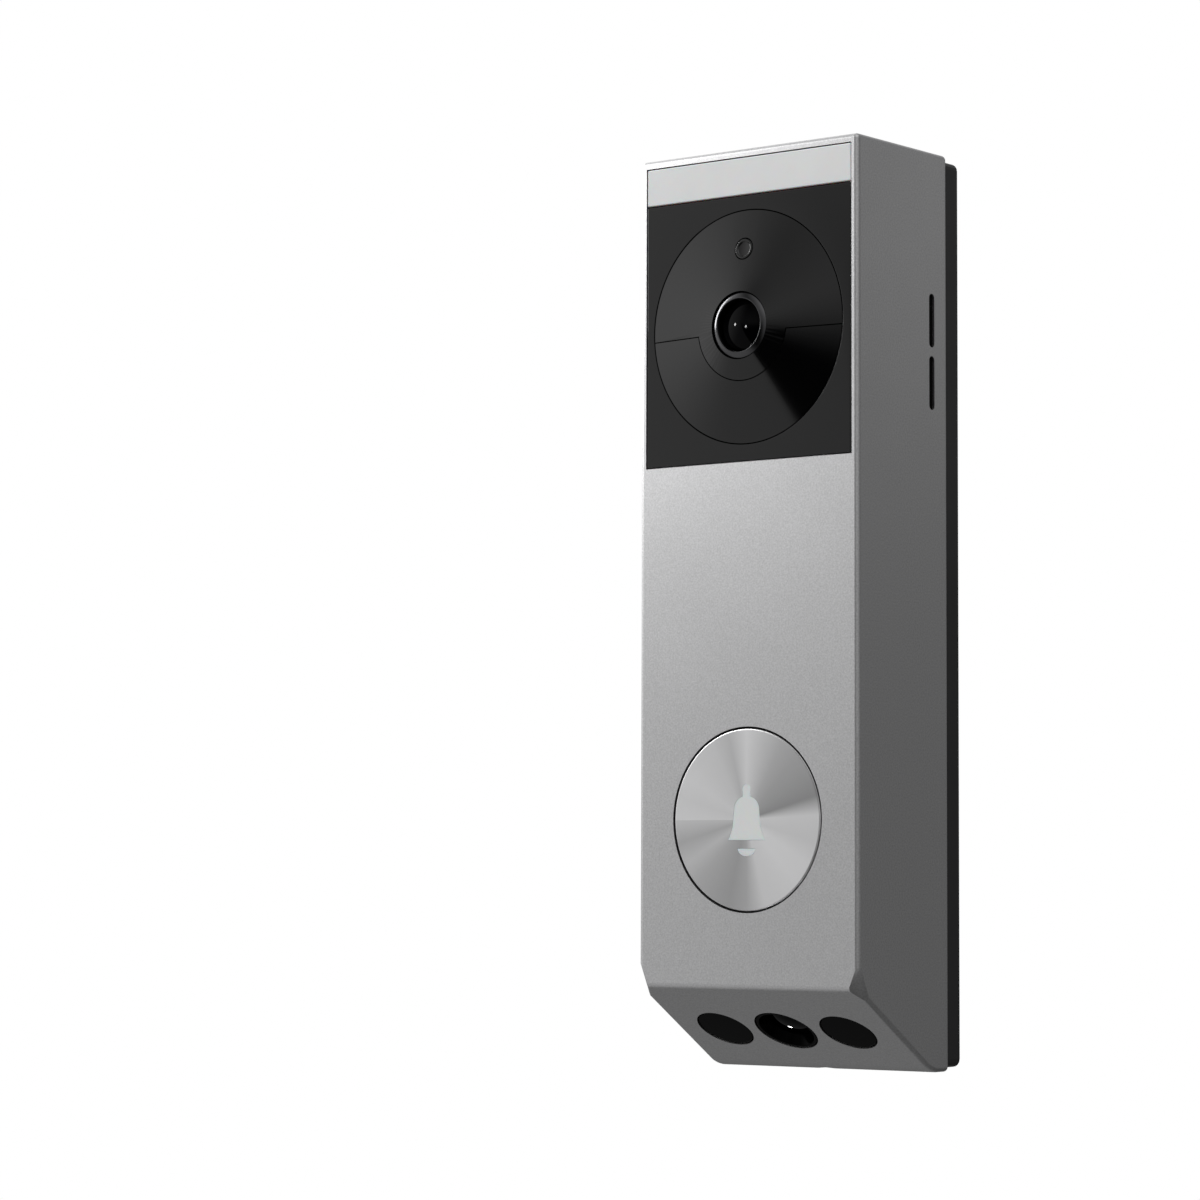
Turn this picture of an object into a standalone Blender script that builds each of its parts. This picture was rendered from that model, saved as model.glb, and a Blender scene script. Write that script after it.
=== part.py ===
"""Battery video doorbell on its wall plate, as separate pieces, in metres.

Frame: +X to the right of someone facing the door, +Y into the wall, +Z up.
The origin is the centre of the wall plate's back face, which lies on the wall.
"""

import math

import bmesh
import bpy
from mathutils import Matrix, Vector

# ---------------------------------------------------------------- driving sizes
BODY_WIDTH = 0.0500
BODY_HEIGHT = 0.1695
BODY_DEPTH = 0.0287
SHELL_WALL = 0.0020
SEAM = 0.0003  # room left between pieces that rest on each other
TRIM_SEAM = 0.0002  # visible joint between the trim pieces of the front
EDGE_ROUND = 0.0009

# Sloped underside
SLOPE_DEPTH = 0.0233
SLOPE_DROP = 0.0154
SLOPE_ROUND = 0.0014
NIP_UP = 0.0054
NIP_IN = 0.0023
NIP_DOWN = 0.0045

# Wall plate
PLATE_THICKNESS = 0.0045
PLATE_BASE = 0.0020
PLATE_RIM = 0.0016
PLATE_SIDE_INSET = 0.0010
PLATE_END_INSET = 0.0006
PLATE_CORNER = 0.0015
LIFT_TRAVEL = 0.0060

# Light bar and camera window in the front
TRIM_SIDE_MARGIN = 0.0016
TRIM_TOP_MARGIN = 0.00175
TRIM_THICKNESS = 0.0016
TRIM_LEDGE = 0.0019
TRIM_FRAME_DEPTH = 0.0040
BAR_HEIGHT = 0.0069
WINDOW_HEIGHT = 0.04905

# Camera dish: a shallow cone round the lens
LENS_DROP = 0.0332
DISH_RADIUS = 0.0215
DISH_MID_RADIUS = 0.0100
DISH_MID_RISE = 0.00155
DISH_TOP_RISE = 0.0024
DISH_WALL = 0.0016
DISH_SPLIT_DROP = 0.0012
LENS_RING_RADIUS = 0.00608
LENS_RING_RISE = 0.0027
LENS_RING_BEVEL = 0.0009
LENS_RING_FACE = 0.0007
LENS_RADIUS = 0.0045
LENS_APERTURE = 0.0027
BARREL_LENGTH = 0.0120
LIGHT_SENSOR_RISE = 0.0143
LIGHT_SENSOR_RADIUS = 0.0019
LIGHT_SENSOR_RIM = 0.000608
LIGHT_SENSOR_SINK = 0.0002

# Bell button
BUTTON_DROP = 0.12354
BUTTON_RADIUS = 0.0166
BUTTON_GAP = 0.00035
BUTTON_CAP = 0.0016
BUTTON_TRAVEL = 0.0005
BUTTON_FLANGE = 0.0016
BUTTON_SEAL_WIDTH = 0.0014

# Windows and lens in the sloped underside
SLOPE_HOLE_DISTANCE = 0.01455
SLOPE_HOLE_SPACING = 0.01405
SLOPE_WINDOW_RADIUS = 0.0054
SLOPE_LENS_RADIUS = 0.0060

# Speaker slots in the right side
SLOT_DROPS = (0.0265, 0.0381)
SLOT_LENGTH = 0.0100
SLOT_WIDTH = 0.0017
SLOT_FROM_FRONT = 0.0235

# Rear cover and what it holds
COVER_THICKNESS = 0.0018
HOOK_X = 0.0140
HOOK_FROM_TOP = 0.01775
HOOK_FROM_BOTTOM = 0.01675
HOOK_WIDTH = 0.0080
HOOK_ROOT = 0.0030
HOOK_LIP = 0.0045
HOOK_LIP_THICKNESS = 0.0015
POCKET_WALL = 0.0012
SCREW_FROM_WALL = 0.0034
SCREW_FROM_TOP = 0.00325
SCREW_UNDER_LENS = 0.02505
SCREW_FROM_BOTTOM = 0.03275
SCREW_BOSS_RADIUS = 0.0019
SCREW_RADIUS = 0.0008
SCREW_HEAD_RADIUS = 0.0016
SCREW_HEAD_DEPTH = 0.0008
SCREW_LENGTH = 0.0065
SCREW_HEAD_TOP = 0.8  # shares of the head's radius and depth that its rounding and socket take
SCREW_HEAD_SIDE = 0.5
SCREW_SOCKET = 0.45
SCREW_SOCKET_FLOOR = 0.3

# Electronics and power
CASE_EDGE = 0.0003
BOARD = 0.0012
THIN_BOARD = 0.0010
CELL_RADIUS = 0.00915
CELL_LENGTH = 0.0650
CELL_CAP_RADIUS = 0.002745
CELL_CAP = 0.0015
CELL_EDGE = 0.0005
CELL_UNDER_LENS = 0.02955
PORT_X = -0.0080
PORT_OVER_CELL = 0.0120
RESET_X = 0.0060
RESET_TRAVEL = 0.0004
TERMINAL_FROM_BOTTOM = 0.03325

# ------------------------------------------------------------- derived planes
PLATE_FRONT_Y = -PLATE_THICKNESS
BODY_BACK_Y = PLATE_FRONT_Y - SEAM
BODY_FRONT_Y = BODY_BACK_Y - BODY_DEPTH
COVER_FRONT_Y = BODY_BACK_Y - COVER_THICKNESS
WALL_INNER_Y = BODY_FRONT_Y + SHELL_WALL
HALF_WIDTH = BODY_WIDTH / 2
INNER_HALF = HALF_WIDTH - SHELL_WALL
TOP_Z = BODY_HEIGHT / 2
BOTTOM_Z = -TOP_Z
INNER_TOP_Z = TOP_Z - SHELL_WALL
INNER_BOTTOM_Z = BOTTOM_Z + SHELL_WALL
CREASE_Z = BOTTOM_Z + SLOPE_DROP

TRIM_HALF = HALF_WIDTH - TRIM_SIDE_MARGIN
BAR_TOP_Z = TOP_Z - TRIM_TOP_MARGIN
BAR_BOTTOM_Z = BAR_TOP_Z - BAR_HEIGHT
WINDOW_TOP_Z = BAR_BOTTOM_Z - TRIM_SEAM
WINDOW_BOTTOM_Z = WINDOW_TOP_Z - WINDOW_HEIGHT
TRIM_BACK_Y = BODY_FRONT_Y + TRIM_THICKNESS
LEDGE_Y = TRIM_BACK_Y + SEAM
FRAME_BACK_Y = BODY_FRONT_Y + TRIM_FRAME_DEPTH
LENS_Z = TOP_Z - LENS_DROP
BUTTON_Z = TOP_Z - BUTTON_DROP
CELL_TOP_Z = LENS_Z - CELL_UNDER_LENS
CELL_BOTTOM_Z = CELL_TOP_Z - CELL_LENGTH
CELL_Y = COVER_FRONT_Y - SEAM - CELL_RADIUS
CELL_X = CELL_RADIUS + SEAM / 2
PORT_Z = CELL_TOP_Z + PORT_OVER_CELL
TERMINAL_Z = BOTTOM_Z + TERMINAL_FROM_BOTTOM
HOOK_HEIGHTS = (TOP_Z - HOOK_FROM_TOP, BOTTOM_Z + HOOK_FROM_BOTTOM)
SCREW_X = INNER_HALF - SCREW_FROM_WALL
SCREW_HEIGHTS = (INNER_TOP_Z - SCREW_FROM_TOP, LENS_Z - SCREW_UNDER_LENS, BOTTOM_Z + SCREW_FROM_BOTTOM)

SLOPE_LENGTH = math.hypot(SLOPE_DEPTH, SLOPE_DROP)
SLOPE_DOWN = Vector((0.0, SLOPE_DEPTH, -SLOPE_DROP)) / SLOPE_LENGTH
SLOPE_OUT = Vector((0.0, -SLOPE_DROP, -SLOPE_DEPTH)) / SLOPE_LENGTH
SLOPE_TOP = Vector((0.0, BODY_FRONT_Y, CREASE_Z))
FRONT = Vector((0.0, -1.0, 0.0))
BACK = Vector((0.0, 1.0, 0.0))
UP = Vector((0.0, 0.0, 1.0))
DOWN = -UP

CLEAR = 0.0010  # how far cutters reach past what they cut

# Details of the body
FOOT_ROUND = 0.0070
BOSS_WEB = 0.0012
SEAL_WIDTH = 0.0008
SEAL_THICKNESS = 0.0007
SCREW_SEAT = SCREW_HEAD_DEPTH + SEAM
SEAL_FRONT_Y = COVER_FRONT_Y - SEAM - SEAL_THICKNESS

# Trim, light bar and camera
TRIM_EDGE = 0.0002
BAR_BOARD_HEIGHT = 0.0040
BAR_LEDS = 6
LED_HEIGHT = 0.0006
LED_HALF = 0.0012
DISH_TOP_RADIUS = 0.0065
GLASS_FOOT = 0.0006
GLASS_EDGE = 0.0012
GLASS_RISE = 0.0008
HOLDER_HALF = 0.0070
HOLDER_TOP = -0.0045
HOLDER_SENSOR_ROOM = 0.0017
SENSOR_HALF = 0.0030
SENSOR_THICKNESS = 0.0008
CAMERA_BOARD_HALF = 0.0100
SENSOR_BOARD_DEPTH = 0.0080
SENSOR_BOARD_HALF = 0.0200
PIR_RADIUS = 0.0041
PIR_HEIGHT = 0.0042
PIR_DROP = 0.0155
PIR_EDGE = 0.0004
LIGHT_CHIP = 0.0012
MIC_X = 0.0160
MIC_DROP = 0.0170
MIC_HALF = 0.0015

# Bell button, as heights along its axis from the front face
BUTTON_EDGE = 0.0003
FLANGE_RADIUS = BUTTON_RADIUS + BUTTON_FLANGE
CARRIER_LOW = -SHELL_WALL - SEAM - 0.0012
NUB_RADIUS = 0.0020
NUB_LOW = CARRIER_LOW - 0.0008
SWITCH_TOP = NUB_LOW - BUTTON_TRAVEL - SEAM
SWITCH_HEIGHT = 0.0013
SWITCH_RADIUS = 0.0031
SWITCH_STEM = 0.00052
SWITCH_STEM_RADIUS = 0.0017
SPRING_WIRE = 0.00025
SPRING_ROOM = 0.00045
SPRING_RADIUS = 0.0080
SPRING_TURNS = 2.5
SPRING_STEPS = 16
COLLAR_INNER = FLANGE_RADIUS + BUTTON_SEAL_WIDTH + 2 * SEAM
COLLAR_OUTER = COLLAR_INNER + 0.0014
COLLAR_DEPTH = -(SWITCH_TOP - SWITCH_HEIGHT - SEAM - THIN_BOARD / 2)
BELL_FOOT = 0.00415
BELL_LOW = -0.0037
BELL_LIP = 0.00025
BELL_WAIST = 0.0032
BELL_WAIST_HEIGHT = -0.0014
BELL_SHOULDER = 0.00285
BELL_SHOULDER_HEIGHT = 0.0019
BELL_CROWN = 0.85
BELL_KNOB = 0.00095
BELL_KNOB_HEIGHT = 0.0055
CLAPPER = 0.0020
CLAPPER_HIGH = -0.00525
CLAPPER_SQUASH = 0.7
BELL_FIT = 0.0001
BELL_FLANGE = 0.0005
BELL_FLANGE_RADIUS = 0.0070

# Windows and lens on the slope, as heights along their axes from its surface
SLOPE_RECESS = 0.00015
WINDOW_FLANGE = 0.0007
WINDOW_LIP = 0.0010
LOWER_GLASS_RADIUS = 0.0043
LOWER_GLASS_EDGE = -0.0022
LOWER_GLASS_RISE = 0.0009
LOWER_GLASS_FOOT = 0.0006
LOWER_RING_FACE = 0.0006
LOWER_APERTURE = 0.0024
LOWER_BARREL_DEPTH = 0.0085
LOWER_BOARD_HALF = 0.0040
LED_RADIUS = 0.0025
LED_DOME = 0.00225
SLOPE_HOLES = (
    ("left", -SLOPE_HOLE_SPACING, SLOPE_WINDOW_RADIUS),
    ("middle", 0.0, SLOPE_LENS_RADIUS),
    ("right", SLOPE_HOLE_SPACING, SLOPE_WINDOW_RADIUS),
)

# Plate openings, foot and lock screw
CHARGING_X = (PORT_X - 0.0090, RESET_X + 0.0050)
CHARGING_Z = (PORT_Z - 0.0080, PORT_Z + 0.0140)
TERMINAL_HALF_WIDTH = 0.0100
TERMINAL_HALF_HEIGHT = 0.0050
WIRE_SIDE_ROOM = 0.0020
WIRE_X = (-TERMINAL_HALF_WIDTH - WIRE_SIDE_ROOM, TERMINAL_HALF_WIDTH + WIRE_SIDE_ROOM)
WIRE_Z = (TERMINAL_Z - TERMINAL_HALF_HEIGHT - 0.0025, TERMINAL_Z + TERMINAL_HALF_HEIGHT + 0.0015)
WALL_SLOT_RADIUS = 0.0023
WALL_SLOT_LENGTH = 0.0080
WALL_SCREW_TOP_Z = TOP_Z - 0.01875
WALL_SCREW_BOTTOM_Z = BOTTOM_Z + 0.01725
LOCK_Y = BODY_BACK_Y - 0.0027
LOCK_RADIUS = 0.0010
LOCK_HEAD_RADIUS = 0.0019
LOCK_HEAD = 0.0009
LOCK_SINK = 0.0002
LOCK_LENGTH = 0.0110
LOCK_SOCKET = 0.5  # shares of the head's radius and depth
LOCK_SOCKET_DEPTH = 0.7
FOOT_X = (-0.0040, 0.0040)
FOOT_FRONT_Y = BODY_BACK_Y - 0.0054
FOOT_LOW_Z = INNER_BOTTOM_Z + LIFT_TRAVEL + 0.00085
FOOT_Z = (FOOT_LOW_Z, FOOT_LOW_Z + 0.0025)
FOOT_HOLE_RADIUS = 0.0016
FOOT_POCKET_LOW_Z = INNER_BOTTOM_Z + 0.00185

# Electronics
MAIN_BOARD_X = (-INNER_HALF + 0.0015, INNER_HALF - 0.0075)
MAIN_BOARD_Z = (CELL_TOP_Z + 0.0070, TOP_Z - 0.00755)
MAIN_FRONT_Y = BODY_BACK_Y - 0.0092
SHIELD_X = (-0.0180, 0.0020)
SHIELD_Z = (LENS_Z - 0.00555, LENS_Z + 0.01445)
SHIELD_HEIGHT = 0.0020
ANTENNA_X = (MAIN_BOARD_X[0] + 0.0015, MAIN_BOARD_X[0] + 0.0155)
ANTENNA_Z = (TOP_Z - 0.01375, TOP_Z - 0.00875)
ANTENNA_THICKNESS = 0.0008
TRAY_WALL = 0.0012
TRAY_HALF_DEPTH = 0.0080
MESH_THICKNESS = 0.0004
MESH_HALF_WIDTH = 0.0020
SPEAKER_ROOM = 0.0006
SPEAKER_DEPTH = 0.0050
SPEAKER_WIDTH = 0.0080
SPEAKER_EDGE = 0.0005
CONE_RADIUS = 0.0032
CONE_FLOOR_RADIUS = 0.0030
CONE_DEPTH = 0.0016
CONE_DOME_DEPTH = 0.0004
PORT_WIDTH = 0.0090
PORT_HEIGHT = 0.0033
PORT_WALL = 0.0003
PORT_EDGE = 0.0004
FLAP_THICKNESS = 0.0008
FLAP_EDGE = 0.00032
FLAP_PLUG = 0.0007
FLAP_HALF_WIDTH = 0.0065
FLAP_HALF_HEIGHT = 0.0050
FLAP_SPAN = (
    (PORT_X - FLAP_HALF_WIDTH, PORT_X + FLAP_HALF_WIDTH),
    (PORT_Z - FLAP_HALF_HEIGHT, PORT_Z + FLAP_HALF_HEIGHT),
)
FLAP_HINGE = (PORT_X, BODY_BACK_Y - FLAP_THICKNESS / 2, FLAP_SPAN[1][0] + FLAP_THICKNESS / 2)
RESET_RADIUS = 0.0012
RESET_RECESS = 0.0005
RESET_LIP = 0.0009
RESET_FLANGE = 0.0008
RESET_TIP = 0.0006
RESET_TIP_RADIUS = 0.00072
RESET_SWITCH_HALF = 0.0022
TERMINAL_RISE = 0.0004
TERMINAL_DEPTH = 0.0068
TERMINAL_SCREW_X = 0.0050
TERMINAL_HEAD_RADIUS = 0.0026
TERMINAL_HEAD = 0.0010
TERMINAL_HEAD_EDGE = 0.0004
TERMINAL_SLOT = (-0.0003, 0.0003)
TERMINAL_SLOT_DEPTH = 0.0006
TERMINAL_SCREW_RADIUS = 0.00125
TERMINAL_SCREW_LENGTH = 0.0045


# ------------------------------------------------------------------ materials
def look(name, colour, roughness, metallic=0.0):
    """A Principled material in linear colour."""
    material = bpy.data.materials.new(name)
    material.use_nodes = True
    shader = material.node_tree.nodes["Principled BSDF"]
    shader.inputs["Base Color"].default_value = (*colour, 1.0)
    shader.inputs["Roughness"].default_value = roughness
    shader.inputs["Metallic"].default_value = metallic
    material.diffuse_color = (*colour, 1.0)
    return material


# -------------------------------------------------------------- building tools
def clear_scene():
    for thing in list(bpy.data.objects):
        bpy.data.objects.remove(thing, do_unlink=True)


def new_collection(name):
    collection = bpy.data.collections.new(name)
    bpy.context.scene.collection.children.link(collection)
    return collection


def put(name, mesh, material, matrix):
    """Adds a mesh to the scene: a piece if it has a material, or a hidden cutter or addition."""
    thing = bpy.data.objects.new(name, mesh)
    thing.matrix_world = matrix
    if material:
        mesh.materials.append(material)
        PIECES.objects.link(thing)
    else:
        thing.hide_render = True
        thing.display_type = "WIRE"
        HELPERS.objects.link(thing)
    return thing


def mesh_from(bm, name):
    mesh = bpy.data.meshes.new(name)
    bmesh.ops.recalc_face_normals(bm, faces=bm.faces)
    bm.to_mesh(mesh)
    bm.free()
    return mesh


def box(name, x, y, z, material=None, rounding=0.0, place=Matrix()):
    """A box between two values on each axis, with its origin at its centre."""
    spans = (x, y, z)
    bm = bmesh.new()
    bmesh.ops.create_cube(bm, size=1.0)
    bmesh.ops.scale(bm, vec=[high - low for low, high in spans], verts=bm.verts)
    centre = Vector([(low + high) / 2 for low, high in spans])
    thing = put(name, mesh_from(bm, name), material, place @ Matrix.Translation(centre))
    if rounding:
        round_edges(thing, rounding)
    return thing


def round_edges(thing, width, segments=2):
    bevel = thing.modifiers.new("rounded edges", "BEVEL")
    bevel.width = width
    bevel.segments = segments
    bevel.limit_method = "ANGLE"


def facing(origin, outward):
    """Placement with local Z pointing outward and local X level."""
    z = Vector(outward).normalized()
    x = Vector((1.0, 0.0, 0.0))
    y = z.cross(x)
    turn = Matrix((x, y, z)).transposed().to_4x4()
    return Matrix.Translation(origin) @ turn


def turned(name, profile, place, material=None, steps=32, ring=False):
    """Turns a profile of (radius, height) about local Z; a ring's profile is a closed loop."""
    bm = bmesh.new()
    points = [bm.verts.new((radius, 0.0, height)) for radius, height in profile]
    ends = points[1:] + points[:1] if ring else points[1:]
    for start, end in zip(points, ends):
        bm.edges.new((start, end))
    mesh = bpy.data.meshes.new(name)
    bm.to_mesh(mesh)
    bm.free()
    thing = put(name, mesh, material, place)
    screw = thing.modifiers.new("turned", "SCREW")
    screw.steps = steps
    screw.render_steps = steps
    screw.use_merge_vertices = True
    screw.merge_threshold = 0.00001
    screw.use_smooth_shade = True
    return thing


def disc(name, radius, low, high, place, material=None, steps=32, rounding=0.0):
    profile = [(0.0, high), (radius - rounding, high), (radius, high - rounding), (radius, low), (0.0, low)]
    if not rounding:
        profile.pop(1)
    return turned(name, profile, place, material, steps)


def hoop(name, inner, outer, low, high, place, material=None, steps=32):
    profile = [(inner, high), (outer, high), (outer, low), (inner, low)]
    return turned(name, profile, place, material, steps, ring=True)


def combine(thing, other, operation):
    boolean = thing.modifiers.new(f"{operation.lower()} {other.name}", "BOOLEAN")
    boolean.operation = operation
    boolean.object = other
    boolean.solver = "EXACT"


def cut(thing, *cutters):
    for cutter in cutters:
        combine(thing, cutter, "DIFFERENCE")


def join(thing, *additions):
    for addition in additions:
        combine(thing, addition, "UNION")


def keep_inside(thing, region):
    combine(thing, region, "INTERSECT")


def outline(name, points, low, high, place, material=None):
    """A flat outline in local X and Y, made solid between two heights along local Z."""
    bm = bmesh.new()
    base = bm.faces.new([bm.verts.new((x, y, low)) for x, y in points])
    raised = bmesh.ops.extrude_face_region(bm, geom=[base])["geom"]
    tops = [item for item in raised if isinstance(item, bmesh.types.BMVert)]
    bmesh.ops.translate(bm, vec=(0.0, 0.0, high - low), verts=tops)
    return put(name, mesh_from(bm, name), material, place)


def arc(centre, radius, start, end, count, squash=1.0):
    """Points on an arc between two angles in degrees, both ends included."""
    angles = [math.radians(start + (end - start) * step / count) for step in range(count + 1)]
    return [
        (centre[0] + radius * math.cos(angle), centre[1] + radius * squash * math.sin(angle))
        for angle in angles
    ]


def joint_axis(name, position):
    """An empty that marks a joint; the moving pieces are parented to it."""
    empty = bpy.data.objects.new(name, None)
    empty.location = position
    empty.empty_display_size = 0.005
    PIECES.objects.link(empty)
    return empty


def carry(empty, *things):
    for thing in things:
        thing.parent = empty
        thing.matrix_parent_inverse = Matrix.Translation(empty.location).inverted()


def settle_meshes():
    """Applies every modifier and shades round faces smooth, with sharp edges kept sharp."""
    graph = bpy.context.evaluated_depsgraph_get()
    made = {}
    for thing in PIECES.objects:
        if thing.type == "MESH":
            made[thing] = bpy.data.meshes.new_from_object(thing.evaluated_get(graph))
    for thing, mesh in made.items():
        thing.modifiers.clear()
        thing.data = mesh
        mesh.name = thing.name
        mesh.shade_smooth()
        mesh.set_sharp_from_angle(angle=math.radians(30.0))


# Places of the turned pieces: origin on the surface, local Z outward
LENS_PLACE = facing((0.0, BODY_FRONT_Y, LENS_Z), FRONT)
MOTION_PLACE = facing((0.0, BODY_FRONT_Y, LENS_Z - PIR_DROP), FRONT)
BUTTON_PLACE = facing((0.0, BODY_FRONT_Y, BUTTON_Z), FRONT)
RESET_PLACE = facing((RESET_X, BODY_BACK_Y, PORT_Z), BACK)
LOCK_PLACE = facing((0.0, LOCK_Y, BOTTOM_Z), DOWN)
FOOT_HOLE_PLACE = facing((0.0, LOCK_Y, FOOT_Z[0]), UP)
DISH_SLOPE = DISH_MID_RISE / (DISH_RADIUS - DISH_MID_RADIUS)
LIGHT_SENSOR_PLACE = facing(
    (0.0, BODY_FRONT_Y - DISH_SLOPE * (DISH_RADIUS - LIGHT_SENSOR_RISE), LENS_Z + LIGHT_SENSOR_RISE),
    (0.0, -1.0, DISH_SLOPE),
)


# ------------------------------------------------------------------ wall plate
def hook(x, z):
    """An L-shaped hook: a root out of the plate and a lip that points up."""
    lip_front = COVER_FRONT_Y - SEAM - HOOK_LIP_THICKNESS
    width = (x - HOOK_WIDTH / 2, x + HOOK_WIDTH / 2)
    name = f"hook at {x:.3f}, {z:.3f}"
    root = box(f"{name} root", width, (lip_front, -PLATE_BASE / 2), (z, z + HOOK_ROOT))
    lip_top = z + HOOK_ROOT + HOOK_LIP
    lip = box(f"{name} lip", width, (lip_front, COVER_FRONT_Y - SEAM), (z + HOOK_ROOT / 2, lip_top))
    return root, lip


def mounting_plate():
    half_width = HALF_WIDTH - PLATE_SIDE_INSET
    half_height = TOP_Z - PLATE_END_INSET
    bm = bmesh.new()
    bmesh.ops.create_cube(bm, size=1.0)
    bmesh.ops.scale(bm, vec=(2 * half_width, PLATE_THICKNESS, 2 * half_height), verts=bm.verts)
    bmesh.ops.translate(bm, vec=(0.0, PLATE_FRONT_Y / 2, 0.0), verts=bm.verts)
    corners = [edge for edge in bm.edges if edge.verts[0].co.xz == edge.verts[1].co.xz]
    bmesh.ops.bevel(bm, geom=corners, offset=PLATE_CORNER, segments=4, profile=0.5, affect="EDGES")
    plate = put("mounting_plate", mesh_from(bm, "mounting_plate"), BLACK_PLASTIC, Matrix())
    cut(plate, box(
        "plate tray",
        (PLATE_RIM - half_width, half_width - PLATE_RIM),
        (PLATE_FRONT_Y - CLEAR, -PLATE_BASE),
        (PLATE_RIM - half_height, half_height - PLATE_RIM),
    ))
    for x in (-HOOK_X, HOOK_X):
        for z in HOOK_HEIGHTS:
            join(plate, *hook(x, z))
    join(plate, box("plate foot", FOOT_X, (FOOT_FRONT_Y, -PLATE_BASE / 2), FOOT_Z))
    foot_hole = (-CLEAR, FOOT_Z[1] - FOOT_Z[0] + CLEAR)
    cut(plate, disc("foot hole", FOOT_HOLE_RADIUS, *foot_hole, FOOT_HOLE_PLACE, steps=24))
    through = (PLATE_FRONT_Y - CLEAR, CLEAR)
    cut(plate, box("charging window cutter", CHARGING_X, through, CHARGING_Z))
    cut(plate, box("wire window cutter", WIRE_X, through, WIRE_Z))
    for name, z, upright in (("upper", WALL_SCREW_TOP_Z, True), ("lower", WALL_SCREW_BOTTOM_Z, False)):
        cut(plate, *wall_slot(name, z, upright))
    return plate


def wall_slot(name, z, upright):
    """Two round ends and a straight middle, for one wall screw."""
    reach = WALL_SLOT_LENGTH / 2 - WALL_SLOT_RADIUS
    through = (-PLATE_BASE - CLEAR, CLEAR)
    cutters = []
    for end in (-reach, reach):
        x_end, z_end = (0.0, z + end) if upright else (end, z)
        place = facing((x_end, 0.0, z_end), BACK)
        cutters.append(disc(f"{name} slot end {end:.4f}", WALL_SLOT_RADIUS, *through, place, steps=24))
    wide, tall = (WALL_SLOT_RADIUS, reach) if upright else (reach, WALL_SLOT_RADIUS)
    cutters.append(box(f"{name} slot middle", (-wide, wide), through, (z - tall, z + tall)))
    return cutters


# ---------------------------------------------------------------- main housing
def sloped_block(name, inset, back_y):
    """The body's outline, brought in by inset on every side but the back."""
    front_y = BODY_FRONT_Y + inset
    bm = bmesh.new()
    bmesh.ops.create_cube(bm, size=1.0)
    size = (BODY_WIDTH - 2 * inset, back_y - front_y, BODY_HEIGHT - 2 * inset)
    bmesh.ops.scale(bm, vec=size, verts=bm.verts)
    bmesh.ops.translate(bm, vec=(0.0, (front_y + back_y) / 2, 0.0), verts=bm.verts)
    sliced = bmesh.ops.bisect_plane(
        bm,
        geom=bm.verts[:] + bm.edges[:] + bm.faces[:],
        dist=1e-7,
        plane_co=SLOPE_TOP - SLOPE_OUT * inset,
        plane_no=SLOPE_OUT,
        clear_outer=True,
    )
    rim = [item for item in sliced["geom_cut"] if isinstance(item, bmesh.types.BMEdge)]
    bmesh.ops.edgeloop_fill(bm, edges=rim)
    return bm


def round_along_x(bm, y, z, radius, segments):
    """Rounds the edge that runs along X at y, z with a true radius."""
    near = 1e-5
    edges = [
        edge for edge in bm.edges
        if all(abs(vert.co.y - y) < near and abs(vert.co.z - z) < near for vert in edge.verts)
    ]
    reach = radius * math.tan(edges[0].calc_face_angle() / 2)
    bmesh.ops.bevel(bm, geom=edges, offset=reach, segments=segments, profile=0.5, affect="EDGES")


def nip_corner(bm, side):
    """A small flat where the front, one side and the slope meet."""
    corner = SLOPE_TOP + Vector((side * HALF_WIDTH, 0.0, 0.0))
    above = corner + Vector((0.0, 0.0, NIP_UP))
    inward = corner - Vector((side * NIP_IN, 0.0, 0.0))
    below = corner + SLOPE_DOWN * NIP_DOWN
    normal = (inward - above).cross(below - above) * side
    sliced = bmesh.ops.bisect_plane(
        bm,
        geom=bm.verts[:] + bm.edges[:] + bm.faces[:],
        dist=1e-7,
        plane_co=above,
        plane_no=normal.normalized(),
        clear_outer=True,
    )
    rim = [item for item in sliced["geom_cut"] if isinstance(item, bmesh.types.BMEdge)]
    bmesh.ops.edgeloop_fill(bm, edges=rim)


def housing_shell():
    bm = sloped_block("front_housing", 0.0, BODY_BACK_Y)
    round_along_x(bm, BODY_FRONT_Y, CREASE_Z, SLOPE_ROUND, 3)
    round_along_x(bm, BODY_FRONT_Y + SLOPE_DEPTH, BOTTOM_Z, FOOT_ROUND, 3)
    rims = [edge for edge in bm.edges if edge.calc_face_angle() > math.radians(60.0)]
    bmesh.ops.bevel(bm, geom=rims, offset=EDGE_ROUND, segments=2, profile=0.5, affect="EDGES")
    for side in (-1, 1):
        nip_corner(bm, side)
    housing = put("front_housing", mesh_from(bm, "front_housing"), SATIN_METAL, Matrix())
    cavity = sloped_block("cavity", SHELL_WALL, BODY_BACK_Y + CLEAR)
    cut(housing, put("housing cavity", mesh_from(cavity, "cavity"), None, Matrix()))
    return housing


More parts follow.
